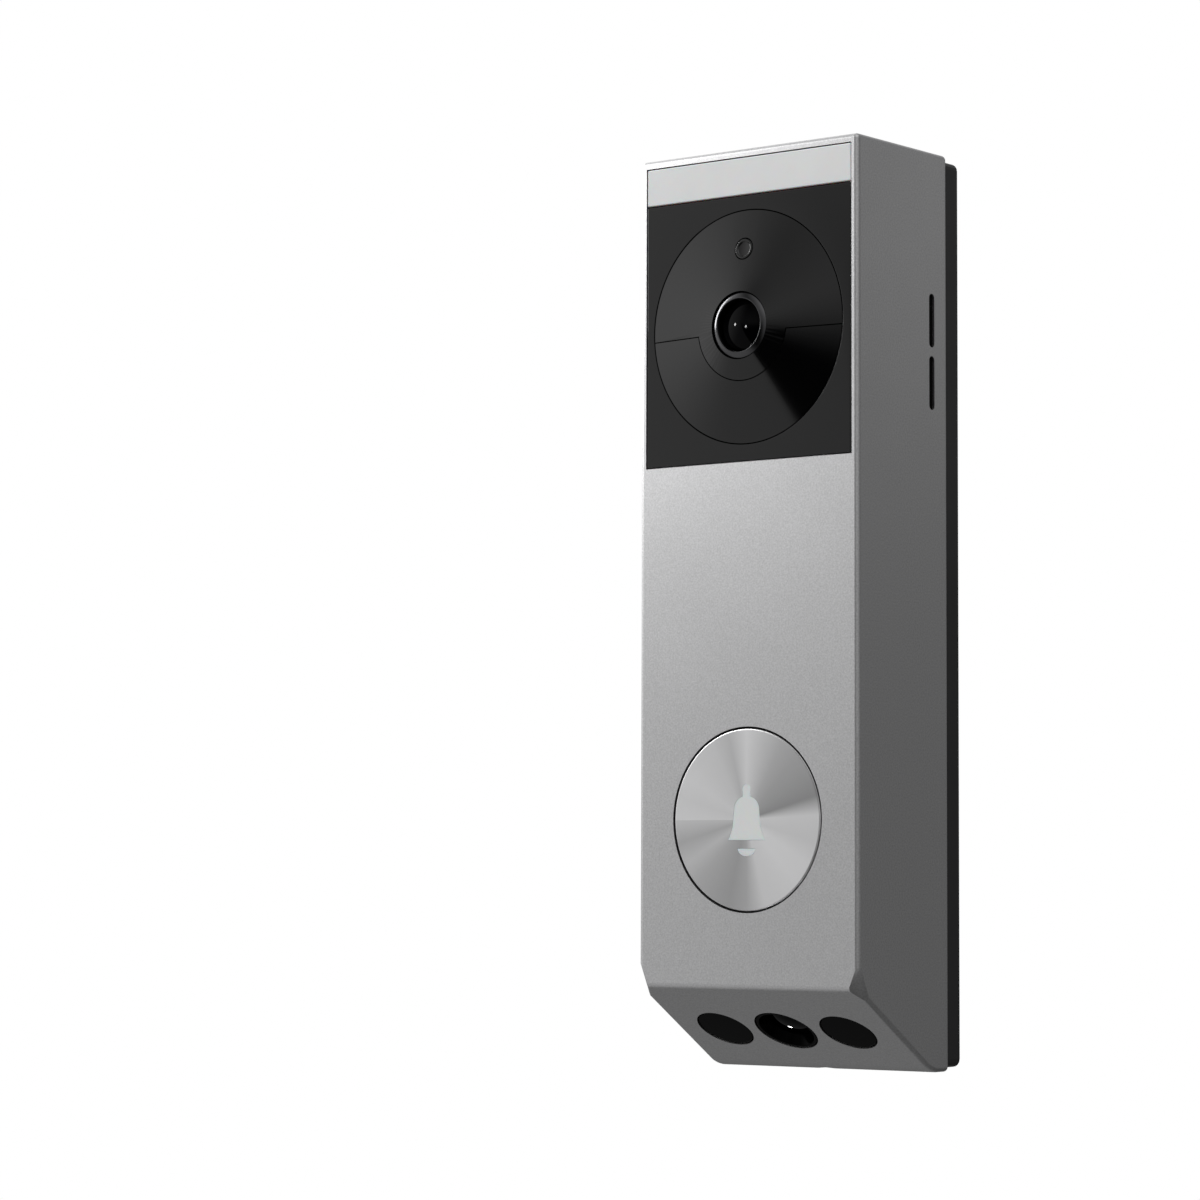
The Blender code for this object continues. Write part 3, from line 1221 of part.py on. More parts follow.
def speaker_set():
    """The speaker capsule faces the side slots, with a mesh strip between them."""
    slot_low = TOP_Z - SLOT_DROPS[-1] - SLOT_LENGTH
    slot_high = TOP_Z - SLOT_DROPS[0]
    middle_y = BODY_FRONT_Y + SLOT_FROM_FRONT
    mesh_x = (INNER_HALF - SEAM - MESH_THICKNESS, INNER_HALF - SEAM)
    mesh_y = (middle_y - MESH_HALF_WIDTH, middle_y + MESH_HALF_WIDTH)
    mesh = box("speaker_mesh", mesh_x, mesh_y, (slot_low - SEAM, slot_high + SEAM), FABRIC)
    speaker_x = (mesh_x[0] - SPEAKER_ROOM - SPEAKER_DEPTH, mesh_x[0] - SPEAKER_ROOM)
    speaker_y = (SEAL_FRONT_Y - SEAM - SPEAKER_WIDTH, SEAL_FRONT_Y - SEAM)
    slots_z = (slot_low, slot_high)
    speaker = box("speaker", speaker_x, speaker_y, slots_z, BLACK_PLASTIC, rounding=SPEAKER_EDGE)
    place = Matrix.Translation((speaker_x[1], sum(speaker_y) / 2, (slot_low + slot_high) / 2))
    profile = [(0.0, CLEAR), (CONE_RADIUS, CLEAR), (CONE_FLOOR_RADIUS, -CONE_DEPTH), (0.0, -CONE_DOME_DEPTH)]
    cut(speaker, turned("speaker cone", profile, place @ Matrix.Rotation(math.pi / 2, 4, "Y"), steps=24))
    return speaker, mesh


# --------------------------------------------------- sockets, flap and buttons
def usb_port():
    mouth = COVER_FRONT_Y - SEAM
    back = MAIN_FRONT_Y + BOARD + SEAM
    half_width, half_height = PORT_WIDTH / 2, PORT_HEIGHT / 2
    port = box(
        "usb_port", (PORT_X - half_width, PORT_X + half_width), (back, mouth),
        (PORT_Z - half_height, PORT_Z + half_height), STEEL, rounding=PORT_EDGE,
    )
    wall = PORT_WALL
    cut(port, box(
        "port inside",
        (PORT_X - half_width + wall, PORT_X + half_width - wall),
        (back + 2 * wall, mouth + CLEAR),
        (PORT_Z - half_height + wall, PORT_Z + half_height - wall),
    ))
    tongue_half = PORT_WIDTH / 3
    join(port, box(
        "port tongue", (PORT_X - tongue_half, PORT_X + tongue_half), (back + wall, mouth - 2 * wall),
        (PORT_Z - wall, PORT_Z + wall),
    ))
    return port


def usb_cover():
    """A rubber flap, flush with the back, with a plug that enters the port opening."""
    flap_x, flap_z = FLAP_SPAN
    inner_face = BODY_BACK_Y - FLAP_THICKNESS
    flap = box("usb_cover", flap_x, (inner_face, BODY_BACK_Y), flap_z, RUBBER, rounding=FLAP_EDGE)
    half_width, half_height = PORT_WIDTH / 2 - SEAM, PORT_HEIGHT / 2 - SEAM
    join(flap, box(
        "flap plug", (PORT_X - half_width, PORT_X + half_width), (inner_face - FLAP_PLUG, inner_face + SEAM),
        (PORT_Z - half_height, PORT_Z + half_height),
    ))
    return flap


def reset_pair():
    """The recessed reset button and the switch on the main board behind it."""
    flange_high = -COVER_THICKNESS - SEAM
    tip = flange_high - RESET_FLANGE - RESET_TIP
    button = turned(
        "reset_button",
        [
            (0.0, -RESET_RECESS),
            (RESET_RADIUS - TRIM_EDGE, -RESET_RECESS),
            (RESET_RADIUS, -RESET_RECESS - TRIM_EDGE),
            (RESET_RADIUS, flange_high),
            (RESET_RADIUS + RESET_LIP, flange_high),
            (RESET_RADIUS + RESET_LIP, flange_high - RESET_FLANGE),
            (RESET_TIP_RADIUS, flange_high - RESET_FLANGE),
            (RESET_TIP_RADIUS, tip),
            (0.0, tip),
        ],
        RESET_PLACE, DARK_PLASTIC, steps=16,
    )
    switch_high = tip - RESET_TRAVEL - SEAM
    switch_y = (MAIN_FRONT_Y + BOARD + SEAM, BODY_BACK_Y + switch_high)
    half = RESET_SWITCH_HALF
    switch_x, switch_z = (RESET_X - half, RESET_X + half), (PORT_Z - half, PORT_Z + half)
    switch = box("reset_switch", switch_x, switch_y, switch_z, STEEL, rounding=CASE_EDGE)
    return button, switch


def terminals():
    """The block that the bell wires screw to, reached through the rear cover."""
    face_y = COVER_FRONT_Y + TERMINAL_RISE
    half_width, half_height = TERMINAL_HALF_WIDTH, TERMINAL_HALF_HEIGHT
    block = box(
        "terminal_block", (-half_width, half_width), (face_y - TERMINAL_DEPTH, face_y),
        (TERMINAL_Z - half_height, TERMINAL_Z + half_height), BLACK_PLASTIC, rounding=CASE_EDGE,
    )
    screws = []
    for name, x in (("left", -TERMINAL_SCREW_X), ("right", TERMINAL_SCREW_X)):
        place = facing((x, face_y + SEAM, TERMINAL_Z), BACK)
        head = TERMINAL_HEAD_RADIUS
        shank = TERMINAL_SCREW_RADIUS
        screw = turned(
            f"terminal_screw_{name}",
            [
                (0.0, TERMINAL_HEAD),
                (head - TERMINAL_HEAD_EDGE, TERMINAL_HEAD),
                (head, TERMINAL_HEAD - TERMINAL_HEAD_EDGE),
                (head, 0.0),
                (shank, 0.0),
                (shank, -TERMINAL_SCREW_LENGTH),
                (0.0, -TERMINAL_SCREW_LENGTH),
            ],
            place, BRASS, steps=20,
        )
        slot = (TERMINAL_HEAD - TERMINAL_SLOT_DEPTH, TERMINAL_HEAD + CLEAR)
        cut(screw, box(f"{name} driver slot", (-head, head), TERMINAL_SLOT, slot, place=place))
        hole = (-TERMINAL_SCREW_LENGTH - 2 * SEAM, CLEAR)
        cut(block, disc(f"{name} terminal hole", shank + SEAM, *hole, place, steps=20))
        screws.append(screw)
    return [block] + screws


def lock_screw():
    """The screw in the underside that keeps the body from being lifted off the plate's foot."""
    high = -LOCK_SINK
    seat = high - LOCK_HEAD
    screw = turned(
        "lock_screw",
        [
            (0.0, high),
            (LOCK_HEAD_RADIUS - TRIM_EDGE, high),
            (LOCK_HEAD_RADIUS, high - TRIM_EDGE),
            (LOCK_HEAD_RADIUS, seat),
            (LOCK_RADIUS, seat),
            (LOCK_RADIUS, -LOCK_LENGTH),
            (0.0, -LOCK_LENGTH),
        ],
        LOCK_PLACE, STEEL, steps=24,
    )
    socket_floor = high - LOCK_HEAD * LOCK_SOCKET_DEPTH
    socket_radius = LOCK_HEAD_RADIUS * LOCK_SOCKET
    cut(screw, disc("lock screw socket", socket_radius, socket_floor, CLEAR, LOCK_PLACE, steps=6))
    return screw


def build():
    mounting_plate()
    lift = joint_axis("axis_body_lift", (0.0, BODY_BACK_Y, 0.0))
    press = joint_axis("axis_bell_press", (0.0, BODY_FRONT_Y, BUTTON_Z))
    swing = joint_axis("axis_usb_cover", FLAP_HINGE)
    reset = joint_axis("axis_reset_press", (RESET_X, BODY_BACK_Y, PORT_Z))

    carry(lift, front_housing(), rear_cover(), housing_seal(), *cover_screws(), lock_screw())
    carry(lift, *light_bar(), camera_window(), *dish_pieces(), *main_lens(), *dish_sensors())
    carry(lift, *button_seat(), button_spring(), *lower_camera())
    carry(lift, *main_electronics(), *battery(), *speaker_set(), usb_port(), *terminals())
    carry(press, *bell_button())
    carry(swing, usb_cover())
    button, switch = reset_pair()
    carry(reset, button)
    carry(lift, switch, press, swing, reset)
    settle_meshes()


clear_scene()
PIECES = new_collection("video_doorbell")
HELPERS = new_collection("cutters")

SATIN_METAL = look("satin anodised grey", (0.42, 0.42, 0.43), 0.38, 0.8)
SPUN_METAL = look("spun metal", (0.50, 0.50, 0.51), 0.30, 1.0)
DIFFUSER = look("light diffuser", (0.62, 0.62, 0.61), 0.45)
WINDOW_BLACK = look("gloss black window", (0.012, 0.012, 0.013), 0.10)
DISH_BLACK = look("gloss black cone", (0.020, 0.020, 0.021), 0.18)
LENS_METAL = look("black lens ring", (0.015, 0.015, 0.016), 0.25, 0.4)
LENS_GLASS = look("lens glass", (0.010, 0.010, 0.014), 0.03)
BELL_WHITE = look("white light pipe", (0.66, 0.66, 0.65), 0.45)
BLACK_PLASTIC = look("black plastic", (0.012, 0.012, 0.013), 0.45)
DARK_PLASTIC = look("dark grey plastic", (0.035, 0.035, 0.037), 0.55)
RUBBER = look("black rubber", (0.010, 0.010, 0.010), 0.75)
FABRIC = look("acoustic mesh", (0.020, 0.020, 0.020), 0.85)
STEEL = look("steel", (0.45, 0.45, 0.46), 0.30, 1.0)
BRASS = look("plated brass", (0.60, 0.45, 0.20), 0.30, 1.0)
BOARD_GREEN = look("circuit board", (0.010, 0.090, 0.035), 0.45)
SENSOR_DARK = look("sensor chip", (0.025, 0.025, 0.035), 0.20)
CELL_WRAP = look("battery wrap", (0.020, 0.080, 0.250), 0.40)
LED_CLEAR = look("clear led", (0.45, 0.45, 0.50), 0.10)

build()
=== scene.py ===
"""Looks of the video doorbell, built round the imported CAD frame, in metres.

Frame: +X to the right of someone facing the door, +Y into the wall, +Z up. Pieces that show are
made again here with fine surfaces; every other CAD node keeps its shape and gets a fuller material.
"""

import math

import bmesh
import bpy
from mathutils import Matrix, Vector


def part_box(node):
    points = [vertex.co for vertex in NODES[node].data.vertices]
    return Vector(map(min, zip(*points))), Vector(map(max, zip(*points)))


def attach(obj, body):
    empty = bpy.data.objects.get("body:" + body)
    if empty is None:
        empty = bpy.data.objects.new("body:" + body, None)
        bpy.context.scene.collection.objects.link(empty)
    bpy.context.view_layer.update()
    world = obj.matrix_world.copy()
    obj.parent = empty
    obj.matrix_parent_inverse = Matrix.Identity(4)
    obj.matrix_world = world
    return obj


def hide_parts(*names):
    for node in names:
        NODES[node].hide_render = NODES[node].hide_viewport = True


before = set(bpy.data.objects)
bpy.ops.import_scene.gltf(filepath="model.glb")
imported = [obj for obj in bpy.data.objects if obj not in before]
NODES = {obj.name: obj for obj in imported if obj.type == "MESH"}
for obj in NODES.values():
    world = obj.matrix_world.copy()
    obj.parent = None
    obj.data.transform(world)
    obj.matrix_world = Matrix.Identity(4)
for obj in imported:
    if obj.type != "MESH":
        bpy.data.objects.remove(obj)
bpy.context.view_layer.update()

# ------------------------------------------------------- places from the frame
HOUSING_LOW, HOUSING_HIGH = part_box("front_housing")
WINDOW_LOW, WINDOW_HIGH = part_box("camera_window")
BAR_LOW, BAR_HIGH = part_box("light_bar")
DISH_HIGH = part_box("camera_dish")[1]
RING_LOW, RING_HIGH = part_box("lens_ring")
BUTTON_LOW, BUTTON_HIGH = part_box("bell_button")
LOCK_LOW, LOCK_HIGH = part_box("lock_screw")

FRONT_Y = HOUSING_LOW.y
BACK_Y = HOUSING_HIGH.y
HALF_WIDTH = HOUSING_HIGH.x
TOP_Z = HOUSING_HIGH.z
BOTTOM_Z = HOUSING_LOW.z
LENS_Z = (RING_LOW.z + RING_HIGH.z) / 2
BUTTON_Z = (BUTTON_LOW.z + BUTTON_HIGH.z) / 2
BUTTON_RADIUS = BUTTON_HIGH.x
DISH_RADIUS = DISH_HIGH.x

# ---------------------------------------------- sizes that no node's box gives
SEAM = 0.0003
CLEAR = 0.0010
WALL = 0.0020
EDGE_ROUND = 0.0009
SMALL_EDGE = 0.00012
TRIM_ROUND = 0.00022
WINDOW_EDGE = 0.00010
DISH_EDGE = 0.00009
SYMBOL_EDGE = 0.00005
CAP_ROUND = 0.0003
SLOPE_DEPTH = 0.0233
SLOPE_DROP = 0.0154
SLOPE_ROUND = 0.0014
NIP_UP = 0.0054
NIP_IN = 0.0023
NIP_DOWN = 0.0045
FOOT_ROUND = 0.0070
TRIM_SEAM = 0.0002
TRIM_THICKNESS = WINDOW_HIGH.y - WINDOW_LOW.y
TRIM_LEDGE = 0.0019
FRAME_DEPTH = 0.0040
BUTTON_GAP = 0.00035

DISH_MID_RADIUS = 0.0100
DISH_MID_RISE = 0.00155
DISH_TOP_RADIUS = 0.0065
DISH_TOP_RISE = 0.0024
DISH_WALL = 0.0016
DISH_SPLIT_DROP = 0.0012
LENS_RING_RADIUS = RING_HIGH.x
LENS_RING_RISE = 0.0027
LENS_RING_DISH = 0.0006
RING_CHAMFER = 0.0011
RING_TILT = 0.47
RING_ROUND = 0.00015
LENS_RADIUS = 0.0045
GLASS_FOOT = 0.0006
GLASS_EDGE = 0.0012
GLASS_RISE = 0.0008
BARREL_MOUTH = 0.0041
BARREL_BORE = 0.0027
BARREL_STEP = -0.0024
BARREL_BACK = -0.0120
BARREL_ROUND = 0.0001
LIGHT_SENSOR_RISE = 0.0143
LIGHT_SENSOR_RADIUS = 0.0019
LIGHT_SENSOR_FACE = 0.68  # share of its radius inside the rim
LIGHT_SENSOR_STEP = 0.0002
LIGHT_SENSOR_ROUND = 0.00008

SLOPE_HOLE_DISTANCE = 0.01455
SLOPE_HOLE_SPACING = 0.01405
SLOPE_WINDOW_RADIUS = 0.0054
SLOPE_LENS_RADIUS = 0.0060
SLOPE_RECESS = 0.00015
LOWER_GLASS_RADIUS = 0.0043
LOWER_GLASS_EDGE = -0.0022
LOWER_GLASS_RISE = 0.0009
LOWER_GLASS_BODY = 0.0006
LOWER_RING_LAND = 0.0006
LOWER_FLANGE = 0.0007
LOWER_LIP = 0.0010
LOWER_WINDOW_ROUND = 0.00025
SLOPE_HOLES = (
    (-SLOPE_HOLE_SPACING, SLOPE_WINDOW_RADIUS),
    (0.0, SLOPE_LENS_RADIUS),
    (SLOPE_HOLE_SPACING, SLOPE_WINDOW_RADIUS),
)

SLOT_DROPS = (0.0265, 0.0381)
SLOT_LENGTH = 0.0100
SLOT_WIDTH = 0.0017
SLOT_PAD_DEPTH = 0.0004
SLOT_FROM_FRONT = 0.0235

SLOPE_LENGTH = math.hypot(SLOPE_DEPTH, SLOPE_DROP)
SLOPE_DOWN = Vector((0.0, SLOPE_DEPTH, -SLOPE_DROP)) / SLOPE_LENGTH
SLOPE_OUT = Vector((0.0, -SLOPE_DROP, -SLOPE_DEPTH)) / SLOPE_LENGTH
SLOPE_TOP = Vector((0.0, FRONT_Y, BOTTOM_Z + SLOPE_DROP))

PIECES = bpy.data.collections.new("looks")
bpy.context.scene.collection.children.link(PIECES)


# -------------------------------------------------------------- material tools
def add(material, kind, links=None, **settings):
    """A node with its settings; each input gets a value or is linked from a socket."""
    tree = material.node_tree
    made = tree.nodes.new(kind)
    for key, value in settings.items():
        setattr(made, key, value)
    for key, value in (links or {}).items():
        if isinstance(value, bpy.types.NodeSocket):
            tree.links.new(value, made.inputs[key])
        else:
            made.inputs[key].default_value = value
    return made


def principled(name, colour, roughness, metallic=0.0, **constants):
    material = bpy.data.materials.new(name)
    material.use_nodes = True
    shader = material.node_tree.nodes["Principled BSDF"]
    shader.inputs["Base Color"].default_value = (*colour, 1.0)
    shader.inputs["Roughness"].default_value = roughness
    shader.inputs["Metallic"].default_value = metallic
    for key, value in constants.items():
        shader.inputs[key.replace("_", " ")].default_value = value
    material.diffuse_color = (*colour, 1.0)
    return material, shader


def place_of(material, stretch=(1.0, 1.0, 1.0)):
    """The point on the object, stretched on each axis."""
    point = add(material, "ShaderNodeTexCoord").outputs["Object"]
    return add(material, "ShaderNodeMapping", {"Vector": point, "Scale": stretch}).outputs[0]


def noise(material, point, scale, detail=2.0):
    made = add(material, "ShaderNodeTexNoise", {"Vector": point, "Scale": scale, "Detail": detail})
    return made.outputs[0]


def between(material, factor, low, high, start=0.3, end=0.7):
    """A number that goes from low to high as the factor goes from start to end."""
    links = {"Value": factor, "From Min": start, "From Max": end, "To Min": low, "To Max": high}
    return add(material, "ShaderNodeMapRange", links).outputs[0]


def mixed(material, factor, first, second):
    """A colour between two, by the factor."""
    links = {0: factor, 6: (*first, 1.0), 7: (*second, 1.0)}
    return add(material, "ShaderNodeMix", links, data_type="RGBA").outputs[2]


def bumped(material, shader, height, distance, strength=1.0):
    """Adds a height to the shader's normal, on top of any bump it already has."""
    links = {"Height": height, "Distance": distance, "Strength": strength}
    if shader.inputs["Normal"].is_linked:
        links["Normal"] = shader.inputs["Normal"].links[0].from_socket
    made = add(material, "ShaderNodeBump", links)
    material.node_tree.links.new(made.outputs[0], shader.inputs["Normal"])


def feed(material, shader, socket, source):
    material.node_tree.links.new(source, shader.inputs[socket])


def shade(colour, factor):
    return tuple(channel * factor for channel in colour)


# ------------------------------------------------------------------- materials
PAINTED_SHEEN_TONES = (
    # clock hour on the disc, painted sheen tone against the mean (reflection wedges painted into the
    # colour)
    (0.0, 1.39), (0.5, 1.12), (1.0, 0.84), (1.5, 0.68), (2.5, 0.48), (2.9, 1.12), (3.5, 1.14),
    (4.0, 1.36), (4.5, 1.41), (5.5, 1.33), (6.0, 0.89), (6.5, 0.74), (7.5, 0.80), (8.0, 0.91),
    (8.5, 0.69), (9.0, 0.93), (9.5, 1.09), (10.0, 1.21), (11.0, 1.17), (11.5, 1.02),
)


def grained(name, colour, roughness, metallic, grain, depth, tone=0.06, spread=0.05, **constants):
    """A surface with a fine grain, a slow drift of tone and a roughness that varies."""
    material, shader = principled(name, colour, roughness, metallic, **constants)
    point = place_of(material)
    fine = noise(material, point, grain, 3.0)
    drift = noise(material, point, 60.0, 2.0)
    colours = mixed(material, fine, shade(colour, 1 - tone), shade(colour, 1 + tone))
    feed(material, shader, "Base Color", colours)
    feed(material, shader, "Roughness", between(material, drift, roughness - spread, roughness + spread))
    bumped(material, shader, fine, depth)
    return material


def satin_metal():
    colour = (0.56, 0.56, 0.565)
    return grained("satin_metal", colour, 0.40, 1.0, 3200.0, 0.000012, tone=0.30, spread=0.015)


def spun_metal():
    """Turned rings round the piece's own Z axis, with painted lighter and darker reflection wedges round
    the disc.
    """
    colour = (0.66, 0.66, 0.665)
    material, shader = principled("spun_metal", colour, 0.34, 1.0, Anisotropic=0.45)
    point = add(material, "ShaderNodeTexCoord").outputs["Object"]
    flatten = {0: point, 1: (1.0, 1.0, 0.0)}
    flat = add(material, "ShaderNodeVectorMath", flatten, operation="MULTIPLY").outputs[0]
    radius = add(material, "ShaderNodeVectorMath", {0: flat}, operation="LENGTH").outputs["Value"]
    fine = {"W": radius, "Scale": 9000.0}
    rings = add(material, "ShaderNodeTexNoise", fine, noise_dimensions="1D").outputs[0]
    around = add(material, "ShaderNodeTexGradient", {"Vector": flat}, gradient_type="RADIAL").outputs["Fac"]
    # painted reflection: the base colour goes lighter and darker in wedges round the disc, standing in for
    # the sheen of spun metal
    ramp = add(material, "ShaderNodeValToRGB", {"Fac": around})
    stops = ramp.color_ramp.elements
    while len(stops) < len(PAINTED_SHEEN_TONES):
        stops.new(0.5)
    turns = sorted(((0.75 - hour / 12) % 1.0, tone) for hour, tone in PAINTED_SHEEN_TONES)
    for stop, (turn, tone) in zip(stops, turns):
        stop.position = turn
        stop.color = (*shade(colour, tone), 1.0)
    feed(material, shader, "Base Color", ramp.outputs["Color"])
    feed(material, shader, "Roughness", between(material, rings, 0.29, 0.38))
    bumped(material, shader, rings, 0.000006)
    tangent = add(material, "ShaderNodeTangent", direction_type="RADIAL", axis="Z").outputs[0]
    feed(material, shader, "Tangent", tangent)
    return material


def gloss(name, colour, roughness, coat=0.0, smudge=0.03, specular=0.5):
    """A polished surface, with faint smudges that change its gloss a little."""
    material, shader = principled(
        name, colour, roughness, 0.0, Coat_Weight=coat, Coat_Roughness=0.03, Specular_IOR_Level=specular,
    )
    point = place_of(material)
    smudges = noise(material, point, 45.0, 4.0)
    feed(material, shader, "Roughness", between(material, smudges, roughness, roughness + smudge))
    ripple = noise(material, point, 350.0, 1.0)
    bumped(material, shader, ripple, 0.000002, 0.4)
    return material


def moulded(name, colour, roughness, texture=2600.0, depth=0.00002):
    """Moulded plastic with a spark-eroded texture."""
    return grained(name, colour, roughness, 0.0, texture, depth, tone=0.12, spread=0.05)


def milky(name, colour, roughness):
    """A translucent white plastic that scatters light under its surface."""
    scatter = {"Subsurface_Weight": 0.25, "Subsurface_Scale": 0.002}
    material, shader = principled(name, colour, roughness, 0.0, **scatter)
    point = place_of(material)
    cloud = noise(material, point, 120.0, 3.0)
    feed(material, shader, "Base Color", mixed(material, cloud, shade(colour, 0.97), shade(colour, 1.03)))
    feed(material, shader, "Roughness", between(material, cloud, roughness - 0.04, roughness + 0.04))
    bumped(material, shader, noise(material, point, 2500.0, 2.0), 0.000008)
    return material


def woven(name, colour):
    """A fine wire cloth: two sets of crossing waves."""
    material, shader = principled(name, colour, 0.8, 0.0, Specular_IOR_Level=0.1)
    point = place_of(material)
    waves = {"Vector": point, "Scale": 900.0}
    warp = add(material, "ShaderNodeTexWave", waves, bands_direction="Y").outputs[1]
    weft = add(material, "ShaderNodeTexWave", waves, bands_direction="Z").outputs[1]
    cloth = add(material, "ShaderNodeMath", {0: warp, 1: weft}, operation="MULTIPLY").outputs[0]
    colours = mixed(material, cloth, shade(colour, 0.2), shade(colour, 2.2))
    feed(material, shader, "Base Color", colours)
    bumped(material, shader, cloth, 0.00006)
    return material


def circuit_board():
    """Solder mask over copper tracks, which show as slightly raised, lighter cells."""
    green = (0.010, 0.090, 0.035)
    material, shader = principled("circuit_board", green, 0.35, 0.0, Coat_Weight=0.4)
    point = place_of(material)
    grid = {"Vector": point, "Scale": 420.0}
    cells = add(material, "ShaderNodeTexVoronoi", grid, distance="MANHATTAN", feature="F1").outputs[0]
    tracks = between(material, cells, 0.0, 1.0, 0.42, 0.46)
    feed(material, shader, "Base Color", mixed(material, tracks, green, shade(green, 1.9)))
    feed(material, shader, "Roughness", between(material, noise(material, point, 200.0), 0.28, 0.42))
    bumped(material, shader, tracks, 0.00003)
    return material


def brushed(name, colour, roughness, stretch):
    """A plated metal with straight brushing along the axis that is stretched least."""
    material, shader = principled(name, colour, roughness, 1.0)
    lines = noise(material, place_of(material, stretch), 900.0, 3.0)
    feed(material, shader, "Base Color", mixed(material, lines, shade(colour, 0.88), shade(colour, 1.1)))
    feed(material, shader, "Roughness", between(material, lines, roughness - 0.08, roughness + 0.10))
    bumped(material, shader, lines, 0.000008)
    return material


LOOKS = {
    "satin_metal": satin_metal(),
    "spun_metal": spun_metal(),
    "light_diffuser": milky("light_diffuser", (0.84, 0.84, 0.84), 0.45),
    "window_black": gloss("window_black", (0.0022, 0.0022, 0.0024), 0.05, smudge=0.02),
    "dish_black": gloss("dish_black", (0.0020, 0.0020, 0.0022), 0.06, smudge=0.02),
    "motion_cover_black": gloss("motion_cover_black", (0.0018, 0.0018, 0.0020), 0.06, smudge=0.02),
    "lens_metal": grained("lens_metal", (0.085, 0.085, 0.088), 0.20, 1.0, 1500.0, 0.000002),
    "lens_glass": gloss("lens_glass", (0.0006, 0.0006, 0.0010), 0.03, smudge=0.02, specular=0.06),
    "bell_white": milky("bell_white", (0.93, 0.93, 0.92), 0.45),
    "black_plastic": moulded("black_plastic", (0.012, 0.012, 0.013), 0.45),
    "dark_plastic": moulded("dark_plastic", (0.035, 0.035, 0.037), 0.55),
    "rubber": moulded("rubber", (0.010, 0.010, 0.010), 0.75, 1800.0),
    "acoustic_mesh": woven("acoustic_mesh", (0.003, 0.003, 0.003)),
    "steel": brushed("steel", (0.45, 0.45, 0.46), 0.30, (1.0, 1.0, 0.15)),
    "brass": brushed("brass", (0.60, 0.45, 0.20), 0.30, (0.15, 1.0, 1.0)),
    "circuit_board": circuit_board(),
    "sensor_chip": gloss("sensor_chip", (0.025, 0.025, 0.035), 0.18),
    "battery_wrap": gloss("battery_wrap", (0.020, 0.080, 0.250), 0.35, smudge=0.08),
    "led_clear": gloss("led_clear", (0.45, 0.45, 0.50), 0.08),
}
DARK_WINDOW = gloss("dark_window", (0.0016, 0.0016, 0.0018), 0.10, smudge=0.02, specular=0.02)


def finish_nodes():
    """Each CAD node takes the look of the slot that the record gives it."""
    for node in NODES.values():
        slot = node.material_slots[0]
        slot.material = LOOKS[slot.material.name.split(".")[0]]


# -------------------------------------------------------------- geometry tools
def facing(origin, outward):
    """Placement with local Z pointing outward and local X level."""
    z = Vector(outward).normalized()
    x = Vector((1.0, 0.0, 0.0))
    turn = Matrix((x, z.cross(x), z)).transposed().to_4x4()
    return Matrix.Translation(origin) @ turn


LENS_PLACE = facing((0.0, FRONT_Y, LENS_Z), (0.0, -1.0, 0.0))
BUTTON_PLACE = facing((0.0, FRONT_Y, BUTTON_Z), (0.0, -1.0, 0.0))
DISH_SLOPE = DISH_MID_RISE / (DISH_RADIUS - DISH_MID_RADIUS)
LIGHT_SENSOR_PLACE = facing(
    (0.0, FRONT_Y - DISH_SLOPE * (DISH_RADIUS - LIGHT_SENSOR_RISE), LENS_Z + LIGHT_SENSOR_RISE),
    (0.0, -1.0, DISH_SLOPE),
)
LOCK_PLACE = facing((0.0, (LOCK_LOW.y + LOCK_HIGH.y) / 2, BOTTOM_Z), (0.0, 0.0, -1.0))


def slope_place(x):
    """A place on the sloped underside, facing out of it."""
    centre = SLOPE_TOP + SLOPE_DOWN * SLOPE_HOLE_DISTANCE
    return facing((x, centre.y, centre.z), SLOPE_OUT)


def put(name, mesh, matrix=Matrix()):
    thing = bpy.data.objects.new(name, mesh)
    thing.matrix_world = matrix
    PIECES.objects.link(thing)
    return thing


def mesh_from(bm, name):
    mesh = bpy.data.meshes.new(name)
    bmesh.ops.recalc_face_normals(bm, faces=bm.faces)
    bm.to_mesh(mesh)
    bm.free()
    return mesh


def box(name, x, y, z, rounding=0.0, segments=3, place=Matrix()):
    """A box between two values on each axis, with rounded edges."""
    bm = bmesh.new()
    bmesh.ops.create_cube(bm, size=1.0)
    bmesh.ops.scale(bm, vec=[high - low for low, high in (x, y, z)], verts=bm.verts)
    centre = Vector([(low + high) / 2 for low, high in (x, y, z)])
    if rounding:
        bmesh.ops.bevel(
            bm, geom=bm.edges[:], offset=rounding, segments=segments, profile=0.5, affect="EDGES",
        )
    return put(name, mesh_from(bm, name), place @ Matrix.Translation(centre))


def arc(centre, radius, start, end, count, squash=1.0):
    """Points on an arc between two angles in degrees, both ends included."""
    angles = [math.radians(start + (end - start) * step / count) for step in range(count + 1)]
    return [
        (centre[0] + radius * math.cos(angle), centre[1] + radius * squash * math.sin(angle))
        for angle in angles
    ]


def rounded(points, radius, count=4, closed=False):
    """A line of points with its corners rounded by arcs; an open line keeps its two ends."""
    points = [Vector(point) for point in points]
    made = []
    for index, corner in enumerate(points):
        if not closed and index in (0, len(points) - 1):
            made.append(corner)
            continue
        before, after = points[index - 1], points[(index + 1) % len(points)]
        into, out = before - corner, after - corner
        turn = into.angle(out)
        if math.pi - turn < math.radians(4.0):
            made.append(corner)
            continue
        reach = min(radius / math.tan(turn / 2), into.length * 0.45, out.length * 0.45)
        bow = reach * math.tan(turn / 2)
        middle = corner + (into.normalized() + out.normalized()).normalized() * math.hypot(bow, reach)
        start = corner + into.normalized() * reach - middle
        sweep = start.angle_signed(corner + out.normalized() * reach - middle)
        for step in range(count + 1):
            angle = -sweep * step / count
            made.append(middle + Matrix.Rotation(angle, 2) @ start)
    return [(point[0], point[1]) for point in made]


